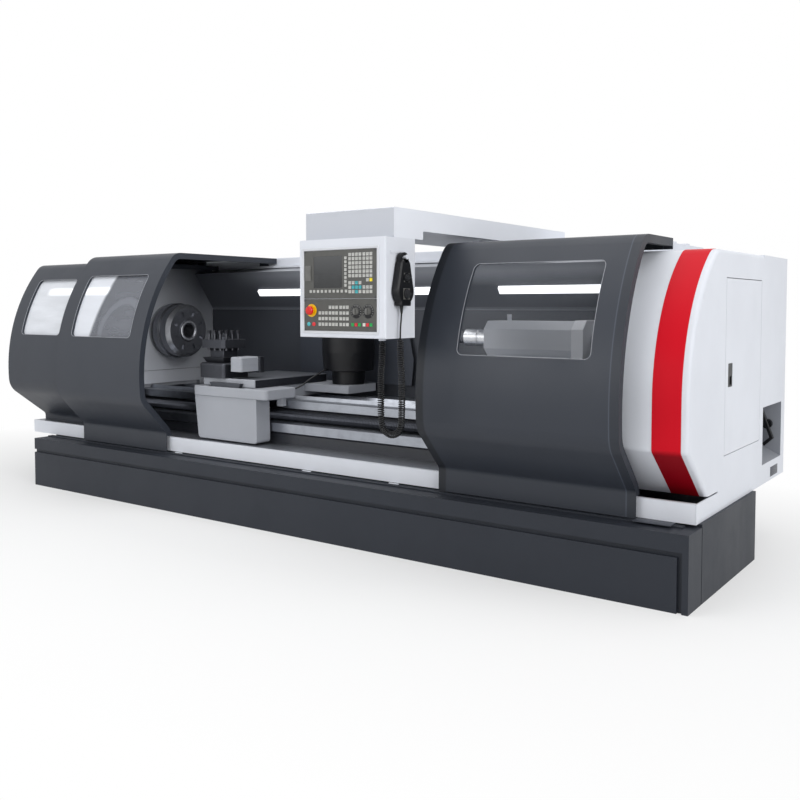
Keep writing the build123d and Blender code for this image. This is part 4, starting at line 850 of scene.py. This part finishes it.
# Panel keys: dished caps, modelled once for each size and copied; coloured ones have their own finish
keySet = dict(face=-377.5, height=2.0, edge=0.0007, rimShare=0.00012, dish=0.0004)
pushSet = dict(places=(("teal", 2738), ("red", 2767)), z=1092.6, radius=0.009, height=0.0024,
               edge=0.0006)
keyTones = {
    "grey": fromScreen(186, 186, 182), "teal": fromScreen(66, 168, 176),
    "green": fromScreen(22, 160, 74), "red": fromScreen(214, 44, 52),
    "yellow": fromScreen(238, 214, 30), "white": fromScreen(214, 212, 204),
}
colouredKeys = {
    "teal": ((3005.8, 1269.5), (3005.8, 1232.3), (2987.4, 1250.9), (3005.8, 1250.9),
             (3024.2, 1250.9)),
    "yellow": ((3082.4, 1281.2),),
    "green": ((2984.3, 1092.6), (3021.1, 1092.6), (3082.4, 1092.6)),
    "red": ((3002.7, 1092.6), (3064.0, 1092.6)),
    "white": ((3045.6, 1092.6),),
}
keyBlocks = (  # first column and row, columns, rows, their pitches, key size
    (2945.5, 1260, 1, 8, 1, 16.5, 12), (2749.3, 1235, 1, 1, 1, 1, 12),
    (2769, 1235, 8, 1, 22.3, 1, 12), (2948.5, 1235, 1, 1, 1, 1, 12),
    (2969, 1299.5, 4, 6, 18.4, 17.9, 14), (2969, 1232.3, 4, 3, 18.4, 18.6, 14),
    (3045.6, 1299.5, 3, 6, 18.4, 17.9, 14), (3064, 1281.2, 2, 1, 18.4, 1, 14),
    (3045.6, 1232.3, 3, 2, 18.4, 18.6, 14), (2801.4, 1092.6, 3, 3, 18.4, 24.5, 14),
    (2859.2, 1092.6, 3, 4, 18.4, 24.5, 14), (2918.9, 1092.6, 3, 4, 18.4, 24.5, 14),
    (2984.3, 1092.6, 3, 1, 18.4, 1, 14), (3045.6, 1092.6, 3, 1, 18.4, 1, 14),
)


def keyCap(size):
    half, high = size / 2000, keySet["height"] / 1000
    cap = block("key_cap", Vector((-half, -high, -half)), Vector((half, 0.0, half)), keySet["edge"])
    pressedIn(cap, lambda face: face.normal.y < -0.98 and face.area > half * half,
              size * keySet["rimShare"], keySet["dish"], (0, 1, 0))
    return cap


def keyTone(x, z):
    for toneName, places in colouredKeys.items():
        if any(abs(x - placeX) < 1 and abs(z - placeZ) < 1 for placeX, placeZ in places):
            return toneName
    return "grey"


keyPlaces = {}
for firstX, firstZ, columns, rows, pitchX, pitchZ, size in keyBlocks:
    for column in range(columns):
        for row in range(rows):
            x, z = firstX + column * pitchX, firstZ + row * pitchZ
            group = keyPlaces.setdefault((keyTone(x, z), size), [])
            group.append(at(x, keySet["face"], z))
for toneName, tone in keyTones.items():
    finishes["key_" + toneName] = plasticFinish("key_" + toneName, tone, 0.40, 0.08)
replacedNodes = ["panel_keys"]
for (toneName, size), places in keyPlaces.items():
    group = copies(f"{toneName}_keys_{size}", keyCap(size), places)
    dressed(group, finishes["key_" + toneName], "control_gantry", replacedNodes)
    replacedNodes = []
for toneName, x in pushSet["places"]:
    middle = at(x, keySet["face"] - pushSet["height"] * 500, pushSet["z"])
    push = roundBar(toneName + "_push_button", middle, pushSet["radius"], pushSet["height"], "Y", 28,
                    pushSet["edge"])
    dressed(push, finishes["key_" + toneName], "control_gantry")
print("panel keys made")

# Dial scales: a black ring with white marks round each rotary dial
dialSet = dict(x=(3003, 3067.5), z=1149, face=-377.5, radius=30, height=1.2, rim=0.004,
               step=0.0001, marks=13, spread=270, markAt=25.5, markLong=4.0, markWide=1.2,
               markSunk=1.0, markHigh=1.5)
scaleBlack = plasticFinish("scale_black", fromScreen(26, 27, 29), 0.45, 0.08)
scaleWhite = plasticFinish("scale_white", fromScreen(206, 206, 202), 0.5, 0.05)
for side, x in zip(("left", "right"), dialSet["x"]):
    middle = at(x, dialSet["face"], dialSet["z"])
    lift = Vector((0, dialSet["height"] / 2000, 0))
    ring = roundBar(f"{side}_dial_ring", middle - lift, dialSet["radius"] / 1000,
                    dialSet["height"] / 1000, "Y", 48, 0.0003)
    pressedIn(ring, lambda face: face.normal.y < -0.98 and face.area > 0.0001,
              dialSet["rim"], dialSet["step"], (0, -1, 0))
    dressed(ring, scaleBlack, "control_gantry")
    halfLong, halfWide = dialSet["markLong"] / 2, dialSet["markWide"] / 2
    low = Vector((-halfWide, -dialSet["markHigh"], dialSet["markAt"] - halfLong)) / 1000
    high = Vector((halfWide, -dialSet["markSunk"], dialSet["markAt"] + halfLong)) / 1000
    mark = block("mark", low, high, 0.0001, 1)
    turns = []
    for number in range(dialSet["marks"]):
        angle = math.radians(dialSet["spread"] * (number / (dialSet["marks"] - 1) - 0.5))
        turns.append(Matrix.Translation(middle) @ Matrix.Rotation(angle, 4, "Y"))
    marks = copies(f"{side}_dial_marks", mark, turns)
    dressed(marks, scaleWhite, "control_gantry")
print("dial scales made")

# Clips under the ledge and a dark plate under its right end
clipSet = dict(x=(1276, 2272, 2833), y=116, z=307.2, size=(56, 10, 11), rim=0.003, depth=0.0015)
wide, deep, high = clipSet["size"]
low, high = Vector((-wide / 2, 0, 0)) / 1000, Vector((wide / 2, deep, high)) / 1000
clip = block("ledge_clip", low, high, 0.0012)
pressedIn(clip, lambda face: face.normal.y < -0.98, clipSet["rim"], clipSet["depth"], (0, 1, 0))
clips = copies("ledge_clips", clip, [at(x, clipSet["y"], clipSet["z"]) for x in clipSet["x"]])
dressed(clips, finishes["white_paint"], "machine")

# Plain dark plates: under the ledge's right end and under the recess
plateSet = (("ledge_end_plate", (4050, 68, 314.3), (4205, 131, 318.8), 0.0012),
            ("bare_side_plate", (4284.2, 1262, 334), (4285.0, 1406, 382), 0.0002))
for plateName, low, high, edge in plateSet:
    plate = block(plateName, at(*low), at(*high), edge)
    dressed(plate, finishes["guard_grey"], "machine")

# Pendant: a ribbed, tapered boot on the cable and square frames round the knobs
bootSet = dict(x=3178, y=-293, top=1172.5, low=1138, wide=0.0085, narrow=0.0045, cuts=11, rib=2.7,
               firstRib=1.0, ribRim=0.0003, ribDepth=0.0008)
middle = at(bootSet["x"], bootSet["y"], (bootSet["top"] + bootSet["low"]) / 2)
bpy.ops.object.select_all(action="DESELECT")
bpy.ops.mesh.primitive_cone_add(vertices=24, radius1=bootSet["narrow"], radius2=bootSet["wide"],
                                depth=(bootSet["top"] - bootSet["low"]) / 1000, location=middle)
boot = placed("pendant_cable_boot")
bpy.ops.object.mode_set(mode="EDIT")
ribStart = bootSet["low"] + bootSet["firstRib"]
for number in range(bootSet["cuts"]):
    bpy.ops.mesh.select_all(action="SELECT")
    cut = at(bootSet["x"], bootSet["y"], ribStart + (number + 1) * bootSet["rib"])
    bpy.ops.mesh.bisect(plane_co=cut, plane_no=(0, 0, 1))
bpy.ops.object.mode_set(mode="OBJECT")
chooseFaces(boot, lambda face: abs(face.normal.z) < 0.5 and
            int((face.center.z * 1000 - ribStart) / bootSet["rib"]) % 2 == 0)
bpy.ops.mesh.inset(thickness=bootSet["ribRim"])
bpy.ops.transform.shrink_fatten(value=-bootSet["ribDepth"])
bpy.ops.object.mode_set(mode="OBJECT")
bpy.ops.object.shade_smooth_by_angle(angle=math.radians(35))
dressed(boot, finishes["cord_black"], "control_gantry")

squareSet = dict(places=(("lower", 1222, 23), ("upper", 1290, 19)), x=(3194.9, 3196.3), y=-281,
                 edge=0.0005, rim=0.0035, depth=0.0005)
for squareName, z, half in squareSet["places"]:
    back, front = squareSet["x"]
    square = block(f"pendant_{squareName}_frame", at(back, squareSet["y"] - half, z - half),
                   at(front, squareSet["y"] + half, z + half), squareSet["edge"])
    pressedIn(square, lambda face: face.normal.x > 0.98 and face.area > 0.0005,
              squareSet["rim"], squareSet["depth"], (-1, 0, 0))
    dressed(square, finishes["dial_grey"], "control_gantry")

# Screws round the panel's bezel and in the bearing blocks
bezelScrews = dict(x=(2717, 3105), y=-378.5, z=(1070, 1197, 1209, 1405), radius=0.0035, height=0.002)
blockScrews = dict(x=(622, 3868, 3912), y=302, z=(526, 579), radius=0.007, height=0.006)
for screwName, settings, body in (("panel_bezel_screws", bezelScrews, "control_gantry"),
                                  ("bearing_block_screws", blockScrews, "machine")):
    places = [(x, settings["y"], z) for x in settings["x"] for z in settings["z"]]
    capScrews(screwName, places, settings["radius"], settings["height"], (0, -1, 0), body)
print("small pieces made")

# Studio: a pale floor that fades into the white background, soft lights
floorSet = dict(size=160.0, colour=0.86, near=1.0, far=2.5, squeeze=0.5, lift=0.35)
bpy.ops.object.select_all(action="DESELECT")
bpy.ops.mesh.primitive_plane_add(size=floorSet["size"], location=(0, 0, -0.0005))
floor = bpy.context.object
floor.name = "studio_floor"
paper = Finish("studio_floor", Base_Color=(floorSet["colour"],) * 3 + (1.0,), Roughness=0.9,
               Specular_IOR_Level=0.0)
glowing = paper.node("ShaderNodeEmission", {}, Color=white, Strength=1.0)
rays = paper.tree.nodes.new("ShaderNodeLightPath")
glossy, through, direct = (Value(paper, rays.outputs[kind]) for kind in (
    "Is Glossy Ray", "Is Transmission Ray", "Is Camera Ray"))
seen = (glossy + through + direct).clamped()
away = (paper.axis("X") * floorSet["squeeze"]) ** 2.0 + paper.axis("Y") ** 2.0
fade = paper.ramp(away ** 0.5, floorSet["near"], floorSet["far"])
blendNode = paper.tree.nodes.new("ShaderNodeMixShader")
paper.join(seen * (fade * (1.0 - floorSet["lift"]) + floorSet["lift"]), blendNode.inputs[0])
paper.tree.links.new(paper.shader.outputs[0], blendNode.inputs[1])
paper.tree.links.new(glowing.socket, blendNode.inputs[2])
paper.tree.links.new(blendNode.outputs[0], paper.output.inputs[0])
floor.data.materials.append(paper.material)

world = bpy.data.worlds.new("studio")
bpy.context.scene.world = world
world.use_nodes = True
tree = world.node_tree
tree.nodes.clear()
worldSet = {"soft": ((0.96, 0.98, 1.0, 1.0), 0.42), "white": (white, 1.0)}  # lights, and is seen
backs = {}
for backName, (backColour, strength) in worldSet.items():
    backs[backName] = tree.nodes.new("ShaderNodeBackground")
    backs[backName].inputs["Color"].default_value = backColour
    backs[backName].inputs["Strength"].default_value = strength
rays = tree.nodes.new("ShaderNodeLightPath")
either = [tree.nodes.new("ShaderNodeMath") for number in range(2)]
for node in either:
    node.operation = "MAXIMUM"
tree.links.new(rays.outputs["Is Camera Ray"], either[0].inputs[0])
tree.links.new(rays.outputs["Is Glossy Ray"], either[0].inputs[1])
tree.links.new(either[0].outputs[0], either[1].inputs[0])
tree.links.new(rays.outputs["Is Transmission Ray"], either[1].inputs[1])
choose = tree.nodes.new("ShaderNodeMixShader")
end = tree.nodes.new("ShaderNodeOutputWorld")
tree.links.new(either[1].outputs[0], choose.inputs[0])
tree.links.new(backs["soft"].outputs[0], choose.inputs[1])
tree.links.new(backs["white"].outputs[0], choose.inputs[2])
tree.links.new(choose.outputs[0], end.inputs[0])

lights = (
    dict(name="overhead", place=(0.5, -1.0, 6.0), aim=(0.0, 0.0, 0.5), size=(9.0, 5.0), power=215.0),
    dict(name="right_side", place=(11.5, -4.8, 4.8), aim=(1.0, 0.0, 0.9), size=(6.0, 6.0), power=640.0),
    dict(name="front_left", place=(-4.5, -7.0, 3.2), aim=(-0.8, 0.0, 0.8), size=(4.0, 3.0), power=70.0),
    dict(name="work_space", place=(-0.3, -4.8, 2.0), aim=(-1.0, 0.1, 0.9), size=(2.4, 1.2), power=32.0),
)
for settings in lights:
    lamp = bpy.data.lights.new(settings["name"], "AREA")
    lamp.shape = "RECTANGLE"
    lamp.size, lamp.size_y = settings["size"]
    lamp.energy = settings["power"]
    holder = bpy.data.objects.new(settings["name"], lamp)
    bpy.context.scene.collection.objects.link(holder)
    holder.location = settings["place"]
    toward = Vector(settings["aim"]) - holder.location
    holder.rotation_euler = toward.to_track_quat("-Z", "Y").to_euler()
print("studio ready")
